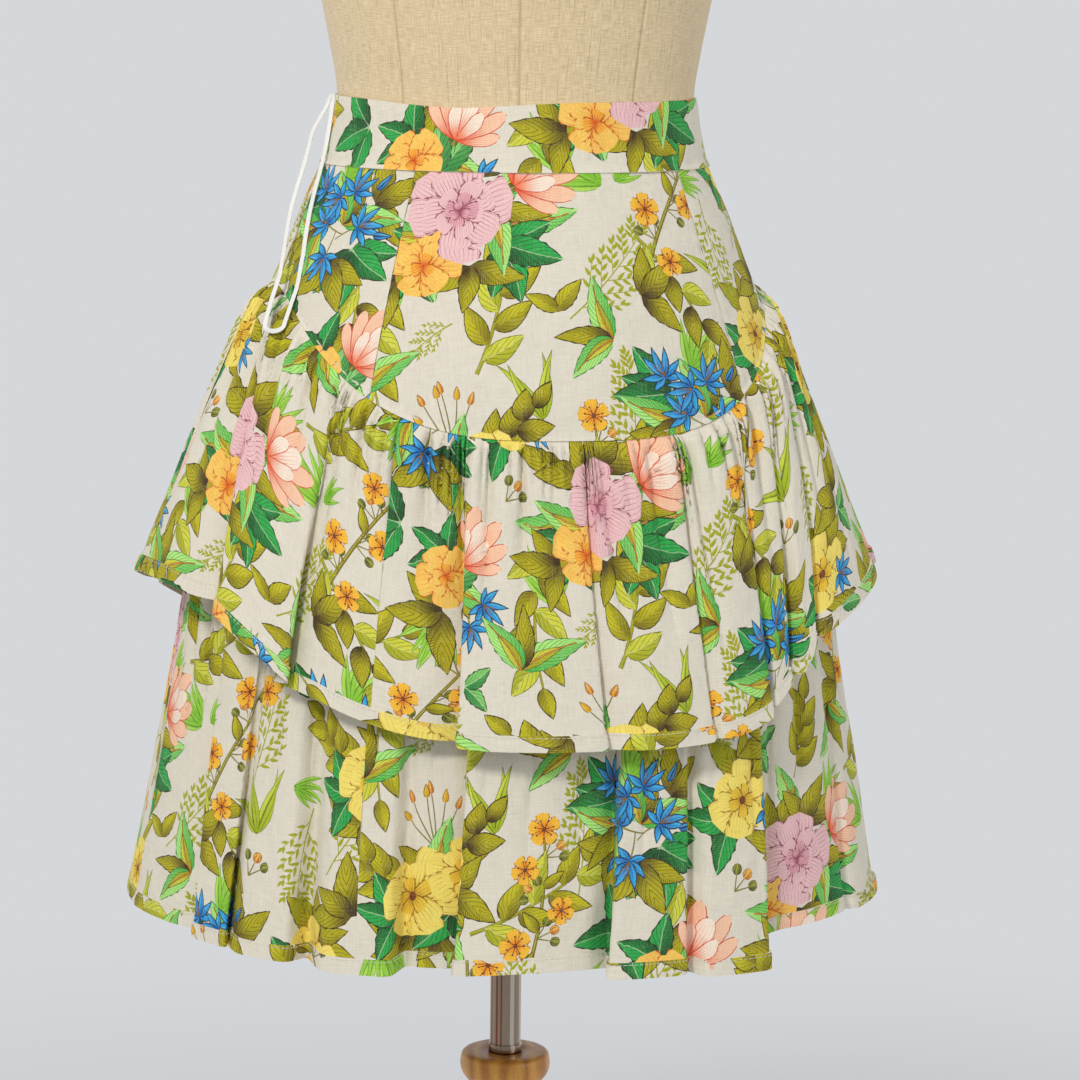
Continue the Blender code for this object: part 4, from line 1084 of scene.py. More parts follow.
def printed_over(n, colour, uv, yarns):
    """The motifs of the mesh, drawn over the ground colour."""
    p, q, width = n.split(n.attribute("blade"))
    flag, outline, rib = n.split(n.attribute("lines"))
    chevrons, slope, streaks = n.split(n.attribute("strokes"))
    weight, taper, hatch = n.split(n.attribute("weights"))
    by_length, by_side, _ = n.split(n.attribute("blend"))
    tone_a, tone_b, ink = (n.attribute(name, "Color") for name in ("tone_a", "tone_b", "ink"))
    beside = abs(q)
    ragged = n.noise(uv, (900, 900, 1))
    # ground tone of the motif: along its length and to one side
    side = n.step(q + ragged.affine(0.3, -0.15), -0.12, 0.12)
    share = n.math("ADD", by_length * n.step(p, 0.02, 0.64), by_side * side, clamp=True)
    motif = n.blend(share, tone_a, tone_b)
    # slanting side veins
    ridge = abs((chevrons * (p - slope * beside)).fraction() - 0.5)
    vein = (ridge < weight) * (chevrons > 0.5)
    # long streaks from the base
    crest = abs((streaks * q.affine(0.5, 0.5)).fraction() - 0.5)
    reach = weight * (1.15 - p * taper.affine(0.6, 0.6))
    streak = (crest < reach) * (streaks > 0.5) * (1.0 - taper * n.step(p, 0.35, 0.95))
    # close hatching on the shaded half
    comb = p.affine(26.0, q * 3.0).fraction()
    shade = (comb < 0.42) * ((1.0 - side) * n.step(beside, 0.08, 0.7)) * (hatch * 2.4)
    # outline and midrib
    from_edge = (1.0 - beside) * width
    rim = (from_edge + ragged.affine(0.3, -0.15) < outline) * (outline > 0.01)
    middle = (beside * width < rib * 0.5) * (rib > 0.01)
    drawn = n.math("MAXIMUM", streak * 0.8, shade)
    drawn = n.math("MAXIMUM", rim * 0.92, n.math("MAXIMUM", vein * 0.75, drawn), clamp=True)
    motif = n.blend(drawn, motif, ink)
    motif = n.blend(middle * 0.85, motif, n.blend(0.55, tone_b, (0.86, 0.80, 0.58)))
    # the dye lies thinner on raised yarns
    thin = 0.97 - n.step(yarns, 1.0, 1.5) * 0.2
    return n.blend(flag * thin, colour, motif)


def woven(n, uv, thick, long):
    """Sum of two sets of yarns, each with the thickness of a yarn and the length of its slubs."""
    warp = n.noise(uv, (1 / thick[0], 1 / long[0], 1), 2.0, 0.6)
    weft = n.noise(uv, (1 / long[1], 1 / thick[1], 1), 2.0, 0.6)
    return warp + weft


def linen(name, ground, printed=False, mottle=None, slub=0.28, coarse=1.0):
    """Slubby plain-weave linen; with printed, the motifs of the mesh are drawn on it."""
    n = Surfacing(name)
    uv = n.cloth_map()
    yarns = woven(n, uv, (0.0008 * coarse, 0.0007 * coarse), (0.016 * coarse, 0.014 * coarse))
    wide = n.noise(uv, (28, 28, 1), 3.0, 0.55)
    tone = (yarns - 1.0).affine(slub, 1.0) + wide.affine(0.06, -0.03)
    colour = linear(ground)
    if mottle is not None:
        cloudy = n.noise(uv, (42, 42, 1), 4.0, 0.6)
        colour = n.blend(n.step(cloudy, 0.5, 0.62) * 0.55, colour, linear(mottle))
    if printed:
        colour = printed_over(n, colour, uv, yarns)
    grey = n.value("ShaderNodeCombineColor", ((k, tone) for k in range(3)))
    colour = n.blend(1.0, colour, grey, "MULTIPLY")
    creases = n.noise(uv, (70, 48, 1), 4.0, 0.55)
    normal = n.bump(yarns, 0.6, 0.00025, n.bump(creases, 0.8, 0.0026))
    return n.finish(colour, wide.affine(0.1, 0.78), normal,
                    Sheen_Weight=0.04, Sheen_Roughness=0.5, Specular_IOR_Level=0.12)


def form_cover():
    n = Surfacing("form_linen_cover")
    uv = n.cloth_map()
    yarns = woven(n, uv, (0.0006, 0.0006), (0.010, 0.010))
    wide = n.noise(uv, (14, 10, 1), 3.0, 0.5)
    colour = n.blend(n.step(yarns, 0.66, 1.34), linear((214, 188, 146)), linear((250, 230, 192)))
    colour = n.blend(wide * 0.2, colour, linear((212, 188, 148)))
    # dark slubs that run down the cloth, and the line of each seam
    slub = n.step(n.noise(uv, (1 / 0.0016, 1 / 0.06, 1), 1.0), 0.60, 0.74)
    colour = n.blend(slub * 0.3, colour, linear((150, 124, 84)))
    colour = n.blend(n.attribute("stitched", "Fac") * 0.30, colour, linear((128, 104, 70)))
    return n.finish(colour, wide.affine(0.1, 0.8), n.bump(yarns, 0.6, 0.0004),
                    Sheen_Weight=0.2, Sheen_Roughness=0.5, Specular_IOR_Level=0.2)


def beech():
    n = Surfacing("beech")
    place = n.place()
    grain = n.noise(place, (260, 260, 18), 5.0, 0.6)
    rings = n.value("ShaderNodeTexWave", (("Vector", n.scaled(place, (1.0, 0.8, 0.12))), ("Scale", 26),
                                          ("Distortion", 7.0), ("Detail", 3), ("Detail Scale", 1.6)),
                    "Fac", wave_type="BANDS", bands_direction="X")
    fleck = n.step(n.noise(place, (900, 900, 110), 1.0), 0.62, 0.72)
    colour = n.blend(rings, linear((184, 116, 36)), linear((236, 174, 74)))
    colour = n.blend(grain * 0.45, colour, linear((190, 124, 54)))
    colour = n.blend(fleck * 0.4, colour, linear((134, 80, 34)))
    return n.finish(colour, grain.affine(0.18, 0.30), n.bump(grain, 0.12, 0.0004),
                    Coat_Weight=0.25, Coat_Roughness=0.25)


def polished(name, colour, rough, reflection_banding=0.0):
    n = Surfacing(name)
    place = n.place()
    fine = n.noise(place, (1400, 1400, 30), 3.0)
    smudge = n.noise(place, (40, 40, 14), 3.0)
    shade = n.blend(fine * 0.5, linear(colour), tuple(0.72 * c for c in linear(colour)))
    # painted reflections: lengthwise brown, reddish and bright bands stand in for the surroundings mirrored in the
    # drawn tube
    reflection_bands = n.noise(place, (250, 250, 0.4), 1.0)
    for low, high, band in ((0.42, 0.34, (84, 58, 44)), (0.36, 0.33, (158, 62, 40)), (0.58, 0.66, (224, 216, 204))):
        shade = n.blend(n.step(reflection_bands, low, high) * reflection_banding, shade, linear(band))
    return n.finish(shade, fine.affine(0.08, rough) + smudge * 0.08, n.bump(fine, 0.05, 0.0001), Metallic=1.0)


def satin():
    n = Surfacing("ribbon_satin")
    uv = n.cloth_map()
    threads = n.noise(uv, (9000, 600, 1))
    edge = n.step(abs(n.split(uv)[0]), 0.0013, 0.0017)
    colour = n.blend(threads * 0.35, linear((248, 247, 243)), linear((222, 219, 212)))
    colour = n.blend(edge * 0.3, colour, linear((214, 210, 202)))
    return n.finish(colour, threads.affine(0.15, 0.38), n.bump(threads, 0.3, 0.0001),
                    Sheen_Weight=0.3, Sheen_Roughness=0.3)


def thread(name, colour):
    n = Surfacing(name)
    ply = n.noise(n.place(), (3000, 3000, 3000), 1.0)
    shade = n.blend(ply, linear(colour), tuple(0.75 * c for c in linear(colour)))
    return n.finish(shade, ply.affine(0.2, 0.55), n.bump(ply, 0.3, 0.0001), Sheen_Weight=0.2)


PRINTED = linen("printed_linen_face", (230, 223, 206), printed=True)
REVERSE = linen("printed_linen_reverse", (221, 214, 196), mottle=(196, 196, 160))
LINING = linen("lining", (226, 221, 208), slub=0.08)
FORM_COVER = form_cover()
BEECH = beech()
# the pole steel's warm brown tint and its bands are painted reflections of warm surroundings, not the metal's own
# colour
STEEL = polished("pole_steel", (166, 146, 128), 0.12, 0.75)
ZIP_METAL = polished("zip_metal_face", (206, 202, 192), 0.24)
SATIN = satin()
THREAD = thread("stitching_thread", (236, 230, 214))
ZIP_TAPE = linen("zip_tape_face", (228, 224, 212), slub=0.1, coarse=0.6)


# ================================================================ folded tiers
def tier_controls(table):
    controls = []
    for i, (seam_from, seam_to, hem_from, hem_to, out_from, out_to, tuck, under, lift) in enumerate(table):
        nxt = table[(i + 1) % len(table)]
        next_seam = nxt[0] + (360 if i == len(table) - 1 else 0)
        crown = 0.06 * (hem_to - hem_from)
        for t in (0.0, 0.14, 0.5, 0.86, 1.0):
            controls.append((seam_from + (seam_to - seam_from) * t, hem_from + (hem_to - hem_from) * t,
                             out_from + (out_to - out_from) * t + crown * 4 * t * (1 - t), lift))
        for t, turn in ((0.40, -VALLEY_TURN), (0.60, VALLEY_TURN)):
            controls.append((seam_to + (next_seam - seam_to) * t, under + turn, -tuck, lift + (nxt[8] - lift) * t))
    return np.array(controls, float)


def stations_at(controls, u):
    """Stations of the closed B-spline at places u, in spans."""
    count = len(controls)
    i = np.floor(u).astype(int)
    t = u - i
    weights = ((1 - t) ** 3 / 6, (3 * t**3 - 6 * t**2 + 4) / 6, (-3 * t**3 + 3 * t**2 + 3 * t + 1) / 6, t**3 / 6)
    total = np.zeros((len(u), 4))
    for j, weight in enumerate(weights):
        index = i - 1 + j
        whole = controls[index % count].copy()
        whole[:, :2] += 360.0 * (index // count)[:, None]
        total += weight[:, None] * whole
    return total


def gather_share(angle):
    return 0.88 + 0.12 * ease((np.abs(np.sin(angle - SKIRT_TURN)) - 0.2) / 0.4)


def pinched(turns, wave, width, height, depth):
    """Round ridges of a height, with narrow creases of a depth between them."""
    from_crease = (turns - np.round(turns)) * wave
    return height * (1.7 * np.abs(np.sin(np.pi * turns)) ** 0.8 - 1.0) - depth * np.exp(-(from_crease / width) ** 2)


def crossings(turns, x):
    """Where along x a rising count of turns passes whole numbers."""
    turns = np.maximum.accumulate(turns)
    whole = np.arange(math.ceil(turns[0]), math.floor(turns[-1]) + 1)
    return np.interp(whole, turns, x)


def cloud(x, y, seed, scale_x, scale_y):
    """Smooth 2-D noise from -1 to 1 over two arrays of equal shape."""
    values = np.random.default_rng(seed).uniform(-1, 1, (128, 128))
    ax, ay = x / scale_x + 11.7, y / scale_y + 5.3
    i, j = np.floor(ax).astype(int), np.floor(ay).astype(int)
    s, t = ease(ax - i), ease(ay - j)
    i0, i1, j0, j1 = i % 128, (i + 1) % 128, j % 128, (j + 1) % 128
    return ((values[i0, j0] * (1 - s) + values[i1, j0] * s) * (1 - t)
            + (values[i0, j1] * (1 - s) + values[i1, j1] * s) * t)


GATHER_WAVE, FOLD_WAVE = 0.0115, 0.034


def tier_surface(name, first, last, seed):
    """Dense surface of one tier between two places of its fold spline."""
    tier = TIERS[name]
    controls = tier_controls(tier["folds"])
    u = np.linspace(first, last, int((last - first) * 26) + 1)
    stations = stations_at(controls, u)
    seam_angle, hem_angle = np.radians(stations[:, 0]), np.radians(stations[:, 1])
    if name == "tier_1":
        top = seam_height(seam_angle) - GAP
    else:
        top = np.full(len(u), LINING_SEAM - GAP)
    start_width = curve(FITTED_SECTIONS, 1, top) + tier["set_off"]
    start_depth = curve(FITTED_SECTIONS, 2, top) + tier["set_off"]

    def row(v, extra):
        angle = seam_angle + (hem_angle - seam_angle) * v**1.1
        spread = v**0.82
        half_width = start_width + (tier["hem"][0] - start_width) * spread
        half_depth = start_depth + (tier["hem"][1] - start_depth) * spread
        out = 0.001 * stations[:, 2] * v**0.8 + extra
        height = top - tier["drop"] * v + 0.001 * stations[:, 3] * v * v
        return ring(half_width, half_depth, angle, height, out)

    x = along_line(row(1.0, 0.0))
    share = gather_share(seam_angle)
    rows = np.r_[np.linspace(0, 0.06, 13), np.linspace(0.06, 0.30, 25)[1:], np.linspace(0.30, 1.0, 46)[1:]]
    points = []
    # small gathers, and the longer soft folds that run out of them
    turns = x / GATHER_WAVE + 0.55 * smooth_noise(x, seed, 0.034)
    size = 0.65 + 0.35 * smooth_noise(x, seed + 1, 0.015, 1)
    reach = 0.28 + 0.14 * smooth_noise(x, seed + 2, 0.013, 1)
    turns_2 = x / FOLD_WAVE + 0.5 * smooth_noise(x, seed + 3, 0.09)
    reach_2 = 0.72 + 0.25 * smooth_noise(x, seed + 4, 0.05, 1)
    size_2 = 0.6 + 0.4 * smooth_noise(x, seed + 5, 0.06, 1)
    gathers = pinched(turns, GATHER_WAVE, 0.0017, 0.0034, 0.0037)
    folds = pinched(turns_2, FOLD_WAVE, 0.0026, 0.0046, 0.0040)
    for v in rows:
        small = share * size * gathers * ease(v / 0.03) * (1 - ease((v - 0.03) / reach))
        soft = share * size_2 * folds * ease(v / 0.07) * (1 - ease((v - 0.12) / reach_2))
        puff = 0.0026 * share * ease(v / 0.035) * (1 - ease((v - 0.05) / 0.3)) - 0.0007 * (1 - ease(v / 0.02))
        y = np.full(len(x), v * tier["drop"])
        linen_wave = 0.0010 * cloud(x, y, seed + 6, 0.045, 0.09) + 0.0005 * cloud(x, y, seed + 7, 0.017, 0.045)
        points.append(row(v, small + soft + puff + linen_wave * ease(v / 0.1)))
    points = np.stack(points, 1)
    slant = np.linalg.norm(np.diff(points, axis=1), axis=2).sum(1).mean()
    # the cut is as wide as the folded cloth is long round the form, over its lower part
    steps = np.linalg.norm(np.diff(points, axis=0), axis=2)[:, rows >= 0.3].mean(1)
    surface = Surface(np.r_[0.0, np.cumsum(steps)], rows * slant, points)
    # columns of mesh points that follow the creases: places along the cloth, how far down they
    # go as a share of the length, and how far beside the crease they run
    surface.creases = [(crossings(turns, surface.x), 0.20, (-0.0019, -0.0009, 0.0, 0.0009, 0.0019)),
                       (crossings(turns_2, surface.x), 0.60, (-0.0030, -0.0014, 0.0, 0.0014, 0.0030))]
    return surface, slant


SHARP_TURN = 4.0                   # degrees a millimetre
SHARP_WINDOW = 0.003


def crease_places(surface, share=0.7):
    """A function that tells which places along a tier lie beside a sharp turn of its cloth.

    The turns are those of the row that lies at a share of the tier's length.
    """
    line = surface.points[:, int(len(surface.y) * share)]
    d = unit(np.diff(line, axis=0))
    turn = np.degrees(np.arccos(np.clip((d[1:] * d[:-1]).sum(1), -1, 1)))
    along = (surface.x[2:] - surface.x[:-2]) / 2
    centres = surface.x[np.r_[0, turn / np.maximum(along * MM, 0.05), 0] > SHARP_TURN]
    if len(centres) == 0:
        return lambda x: np.zeros(len(x), bool)

    def near(x):
        k = np.clip(np.searchsorted(centres, x), 1, len(centres) - 1)
        return np.minimum(np.abs(centres[k] - x), np.abs(centres[k - 1] - x)) < SHARP_WINDOW
    return near


def declare(obj, width, length, held, node, **measured):
    """One sheet of the print or the lining, which stands for one CAD node: hides that node and puts the sheet on the
    root body.
    """
    put(obj, "printed_linen", node)


def rectangle(left, right, low, high, step):
    return resample(np.array([(left, low), (right, low), (right, high), (left, high)]), step)


STATIONS = 7                       # stations of the fold spline to a fold
MIDDLE = 2                         # the one in the middle of the fold
CREASE_ROW = 0.0045                # between the rows of points along a crease


def build_tier(name, seed, offsets):
    tier = TIERS[name]
    starts = [fold * STATIONS + MIDDLE for fold in tier["seams"]]
    ends = starts[1:] + [starts[0] + len(tier["folds"]) * STATIONS]
    band_share = HEM_BAND / (tier["drop"] * 1.03)
    for k, (piece, start, end) in enumerate(zip(TIER_PIECES, starts, ends)):
        surface, slant = tier_surface(name, start, end, seed + 20 * k)
        left, right = surface.x[0] + 0.00002, surface.x[-1] - 0.00002
        low = -slant * (1 - band_share * 0.45)
        sharp = crease_places(surface)

        def fine(points, sharp=sharp, slant=slant):
            return (points[:, 1] > -0.28 * slant) | sharp(points[:, 0])

        columns = []
        for places, share, aside in surface.creases:
            xs = (places[:, None] + np.array(aside)).ravel()
            ys = -np.arange(CREASE_ROW, share * slant, CREASE_ROW)
            columns.append(np.stack(np.meshgrid(xs, ys), -1).reshape(-1, 2))
        obj = cloth_panel(f"{name}_{piece}_cloth", rectangle(left, right, low, 0.0, 0.0028),
                          lambda x, y, s=surface: s.sample(x, -y), [PRINTED, REVERSE], offsets[k],
                          spacing=(0.0050, 0.0095), fine=fine, thickness=0.0011, columns=np.concatenate(columns))
        declare(obj, right - left, -low, "gathered", f"{name}_{piece}", area=obj["flat_area"])
    # the bias strip round the hem
    surface, slant = tier_surface(name, starts[0], ends[-1], seed)

    def on_band(x, y):
        points, normals = surface.sample(x, -y)
        depth = (-y - slant * (1 - band_share)) / HEM_BAND
        pillow = 0.0008 + 0.0005 * np.sin(np.pi * np.clip(depth, 0, 1)) ** 0.5
        return points + normals * pillow[:, None], normals

    high, low = -slant * (1 - band_share), -slant
    outline = rectangle(surface.x[0] + 0.0002, surface.x[-1] - 0.0002, low, high, 0.0026)
    band = cloth_panel(f"{name}_hem_band_cloth", outline, on_band, [PRINTED, REVERSE], offsets[3],
                       turn=math.radians(45), spacing=(0.0026, 0.0030), thickness=0.0024, edge_rows=(0.0008,))
    # the strip is folded round the edge: its front, its back and the thickness between them
    around = float(np.linalg.norm(np.diff(surface.points[:, -1], axis=0), axis=1).sum())
    declare(band, around, 2 * HEM_BAND + 0.0038, "gathered", f"{name}_hem_band")
    x = np.arange(surface.x[0] + 0.004, surface.x[-1] - 0.004, 0.0008)
    points, normals = on_band(x, np.full(len(x), high - 0.0016))
    put(stitches(f"{name}_hem_stitching", points, normals, 0.0026, 0.0011, 0.00022), "printed_linen")


STITCH = np.array([(0.0, -0.6), (0.2, 0.35), (0.5, 0.75), (0.8, 0.35), (1.0, -0.6)])     # share of its length, lift
STITCH_SIDES = 5


def stitches(name, points, normals, length, gap, radius):
    """A line of sewn stitches: short threads that dip into the cloth at their ends."""
    along = along_line(points)
    starts = np.arange(0, along[-1] - length, length + gap)
    at = (starts[:, None] + STITCH[:, 0] * length).ravel()

    def placed(values, places):
        return np.stack([np.interp(places, along, column) for column in values.T], 1)

    p, out = placed(points, at), unit(placed(normals, at))
    side = np.cross(out, unit(placed(points, at + 0.0003) - p))
    centre = p + out * (np.tile(STITCH[:, 1], len(starts)) * radius * 1.2)[:, None]
    turns = (2 * math.pi * k / STITCH_SIDES for k in range(STITCH_SIDES))
    verts = np.stack([centre + radius * (out * math.cos(a) + side * math.sin(a)) for a in turns], 1).reshape(-1, 3)
    rings, faces = len(STITCH), []
    for first in range(0, len(starts) * rings * STITCH_SIDES, rings * STITCH_SIDES):
        for m in range(rings - 1):
            for k in range(STITCH_SIDES):
                a, b = (first + m * STITCH_SIDES + j for j in (k, (k + 1) % STITCH_SIDES))
                faces.append((a, b, b + STITCH_SIDES, a + STITCH_SIDES))
        last = first + (rings - 1) * STITCH_SIDES
        faces.append(tuple(range(first + STITCH_SIDES - 1, first - 1, -1)))
        faces.append(tuple(range(last, last + STITCH_SIDES)))
    return new_object(name, shaped(name, verts.tolist(), faces), THREAD)


# ================================================================ fitted pieces
def level_at(height):
    """An edge at one height, as a function of the angle."""
    return lambda angle: np.full(np.shape(angle), height)


class FittedPatch:
    """A fitted piece's flat pattern: its place on a cone rolled out flat."""

    def __init__(self, start, end, top, bottom, relief):
        self.middle, self.relief = (start + end) / 2, relief
        self.angles = np.linspace(start - 0.05, end + 0.05, 500)
        self.heights = np.linspace(1.045, 0.70, 400)
        level = (top + bottom) / 2

        def around(height):
            return along_line(fitted(self.angles, np.full(len(self.angles), height)))

        arc = around(level)
        self.arc = arc - np.interp(self.middle, self.angles, arc)
        slant = along_line(fitted(np.full(len(self.heights), self.middle), self.heights))
        slant_top, slant_low = (np.interp(-h, -self.heights, slant) for h in (top, bottom))
        girth_top, girth_low = around(top)[-1], around(bottom)[-1]
        first = (slant_low - slant_top) * girth_top / max(girth_low - girth_top, 1e-4)
        self.radius = first + slant - slant_top
        self.level_radius = np.interp(-level, -self.heights, self.radius)

    def flat(self, angle, height):
        r = np.interp(-height, -self.heights, self.radius)
        turn = np.interp(angle, self.angles, self.arc) / self.level_radius
        return np.stack([r * np.sin(turn), self.level_radius - r * np.cos(turn)], -1)

    def outline(self, line, count, top, bottom, step):
        """The flat outline between two edges, which are functions of the angle, along a line of angles."""
        rows = np.linspace(0, 1, count)[1:-1]
        right, left = np.full(len(rows), line[-1]), np.full(len(rows), line[0])

        def between(angle, t):
            return bottom(angle) + (top(angle) - bottom(angle)) * t

        heights = [bottom(line), between(right, rows), top(line)[::-1], between(left, rows[::-1])]
        angles = [line, right, line[::-1], left]
        return resample(self.flat(np.concatenate(angles), np.concatenate(heights)), step)

    def point(self, x, y):
        away = self.level_radius - y
        r, turn = np.hypot(x, away), np.arctan2(x, away)
        height = np.interp(r, self.radius, self.heights)
        angle = np.interp(turn * self.level_radius, self.arc, self.angles)
        return fitted(angle, height, self.relief(angle, height))

    def place(self, x, y):
        e = 0.0006
        along = self.point(x + e, y) - self.point(x - e, y)
        up = self.point(x, y + e) - self.point(x, y - e)
        return self.point(x, y), unit(np.cross(along, up))


def fitted_panel(name, start, end, top, bottom, offset, held, thickness=CLOTH, seed=1, seam_dip=0.0005,
                 puckers=0.0, waves=0.0):
    """A printed panel between two edges, which are functions of the angle."""
    def relief(angle, height):
        from_side = np.minimum(angle - start, end - angle) * curve(FITTED_SECTIONS, 1, height)
        from_top, from_low = top(angle) - height, height - bottom(angle)
        dip = np.exp(-(np.maximum(from_side, 0) / 0.0022) ** 2) + np.exp(-(np.maximum(from_top, 0) / 0.0020) ** 2)
        dip = dip + 0.6 * np.exp(-((np.maximum(from_low, 0) - 0.0035) / 0.0016) ** 2)
        total = 0.0009 * (1 - ease(from_low / 0.003)) - seam_dip * dip
        if puckers:
            pull = np.sin(height * 2 * np.pi / 0.017 + 2.5 * np.sin(height * 61 + seed))
            total = total + puckers * (pull * np.exp(-(np.maximum(from_side, 0) / 0.008) ** 1.4))
        if waves:
            x = angle * 0.17
            total = total + waves * (cloud(x, height, seed, 0.05, 0.03)
                                     + 0.4 * cloud(x, height, seed + 1, 0.018, 0.014))
        return total

    edge = np.linspace(start, end, 50)
    patch = FittedPatch(start, end, float(top(edge).mean()), float(bottom(edge).mean()), relief)
    gap = 0.0002 / 0.15
    outline = patch.outline(np.linspace(start + gap, end - gap, 60), 30, top, bottom, 0.0028)
    obj = cloth_panel(f"{name}_cloth", outline, patch.place, [PRINTED, REVERSE], offset,
                      spacing=(0.0045, 0.0055), thickness=thickness)
    declare(obj, *obj["flat_size"], held, name, area=obj["flat_area"])


def waist_edge(angle):
    """The waistband's upper edge, which has sunk a little to the left of the front."""
    return WAIST_TOP - 0.0042 * np.exp(-((angle + 0.36) / 0.42) ** 2)


def build_fitted():
    half_zip = 0.0014 / FITTED_SECTIONS[-1, 1]
    left, right, back = SKIRT_TURN - SIDE_SEAM, SKIRT_TURN + SIDE_SEAM, SKIRT_TURN + math.pi
    inner_left, inner_right = SKIRT_TURN - PRINCESS_SEAM, SKIRT_TURN + PRINCESS_SEAM
    right_back, left_back = (right, back - half_zip), (back + half_zip, left + 2 * math.pi)
    for piece, (start, end), offset in (
            ("front", (left, right), (40, 210)), ("back_right", right_back, (240, 60)),
            ("back_left", left_back, (120, 140))):
        fitted_panel(f"waistband_{piece}", start, end, waist_edge, level_at(BAND_SEAM + 0.0002), offset, "stretched",
                     thickness=0.0013, seed=3, seam_dip=0.0004, waves=0.0004)
    for k, (piece, (start, end), offset) in enumerate((
            ("front_centre", (inner_left, inner_right), (150, 190)), ("front_right", (inner_right, right), (40, 20)),
            ("front_left", (left, inner_left), (230, 110)), ("back_right", right_back, (90, 300)),
            ("back_left", left_back, (200, 240)))):
        fitted_panel(f"yoke_{piece}", start, end, level_at(BAND_SEAM - 0.0002),
                     lambda angle: seam_height(angle) - 0.0006, offset, "hung", seed=31 + k, puckers=0.00035,
                     waves=0.0006)
    under_layer("underskirt_front", left, right)
    under_layer("underskirt_back", right, left + 2 * math.pi)


def under_layer(name, start, end):
    """A plain panel that carries the lower tier; it only shows from below."""
    def top(angle):
        return seam_height(angle) - 0.0005

    def relief(angle, height):
        return -0.0024 * (1 - ease((top(angle) - height) / (top(angle) - LINING_SEAM)))

    patch = FittedPatch(start, end, 0.84, LINING_SEAM, relief)
    outline = patch.outline(np.linspace(start + 0.002, end - 0.002, 90), 14, top, level_at(LINING_SEAM + 0.0003),
                            0.007)
    obj = cloth_panel(f"{name}_cloth", outline, patch.place, [LINING, LINING], spacing=(0.011, 0.013), printed=False,
                      edge_rows=())
    declare(obj, *obj["flat_size"], "hung", name, area=obj["flat_area"])


# ================================================================ dress form and stand
def form_point(angle, height, out=0.0):
    p = ring(curve(FORM_SECTIONS, 1, height), curve(FORM_SECTIONS, 2, height), angle, height, out)
    p[..., 1] += curve(FORM_SECTIONS, 3, height)
    return p


FORM_SEAMS = tuple(math.radians(a) for a in (0, 39, 90, 141, 180, 219, 270, 321))
FORM_LOW, FORM_SHOULDER, FORM_HIGH = FORM_SECTIONS[0, 0], 1.36, FORM_SECTIONS[-1, 0]
FORM_GIRTH = 0.9
FORM_ROUNDING = 0.004


def aside(angles, seam):
    """Angle between places and a seam, either way round."""
    return np.abs((angles - seam + math.pi) % (2 * math.pi) - math.pi)


def build_form():
    levels = np.concatenate([np.linspace(FORM_LOW, FORM_SHOULDER, 72), np.linspace(FORM_SHOULDER, FORM_HIGH, 26)[1:]])
    # columns at an even spacing, with closer ones beside each seam
    beside = np.array([-0.030, -0.021, -0.014, -0.009, -0.0045, 0.0, 0.0045, 0.009, 0.014, 0.021, 0.030])
    near = np.concatenate([(seam + beside) % (2 * math.pi) for seam in FORM_SEAMS])
    even = np.linspace(0, 2 * math.pi, 181)[:-1]
    angles = np.sort(np.r_[near, even[aside(even[:, None], np.array(FORM_SEAMS)).min(1) > 0.036]])
    columns, rows = len(angles), len(levels)
    angles = np.r_[angles, 2 * math.pi + angles[0]]
    a, h = np.meshgrid(angles, levels, indexing="xy")          # rows are levels
    half_width = curve(FORM_SECTIONS, 1, h)
    dip, stitched = np.zeros_like(a), np.zeros_like(a)
    for seam in FORM_SEAMS:
        off = aside(a, seam) * half_width
        dip += np.exp(-(off / 0.0012) ** 2) * 0.0007 - np.exp(-((off - 0.0035) / 0.0020) ** 2) * 0.0002
        stitched = np.maximum(stitched, np.exp(-(off / 0.0009) ** 2))
    from_edge = 1 - np.clip((h - FORM_LOW) / FORM_ROUNDING, 0, 1)
    rounding = FORM_ROUNDING * (1 - np.sqrt(np.clip(1 - from_edge ** 2, 0, 1)))
    soft = 0.0005 * cloud(a * 0.15, h, 77, 0.06, 0.05)
    soft[:, -1] = soft[:, 0]
    points = form_point(a, h, -dip - rounding + soft)
    verts = points[:, :-1].reshape(-1, 3).tolist()
    faces, uvs, bake = [], [], []
    for r in range(rows - 1):
        for c in range(columns):
            corners = ((c, r), (c + 1, r), (c + 1, r + 1), (c, r + 1))
            faces.append(tuple(rr * columns + cc % columns for cc, rr in corners))
            uvs.extend((FORM_GIRTH * angles[cc] / (2 * math.pi), levels[rr]) for cc, rr in corners)
            bake.extend((0.004 + 0.992 * cc / columns, 0.004 + 0.80 * rr / (rows - 1)) for cc, rr in corners)
    # the two ends, closed by fans
    for row, first_row, mapped in ((0, True, 0.1), (rows - 1, False, 0.3)):
        centre = points[row, :-1].mean(0)
        verts.append(centre.tolist())
        hub = len(verts) - 1
        for c in range(columns):
            i, j = row * columns + c, row * columns + (c + 1) % columns
            tri = (hub, j, i) if first_row else (hub, i, j)
            faces.append(tri)
            for v in tri:
                p = np.array(verts[v]) - centre
                uvs.append((p[0], p[1]))
                bake.append((mapped + p[0] * 0.5, 0.905 + p[1] * 0.5))
    mesh = shaped("form_cover", verts, faces, uvs, bake)
    attribute(mesh, "stitched", "POINT", np.r_[stitched[:, :-1].ravel(), 0.0, 0.0][:, None])
    put(new_object("form_cover", mesh, FORM_COVER), "form_linen", "form_torso")


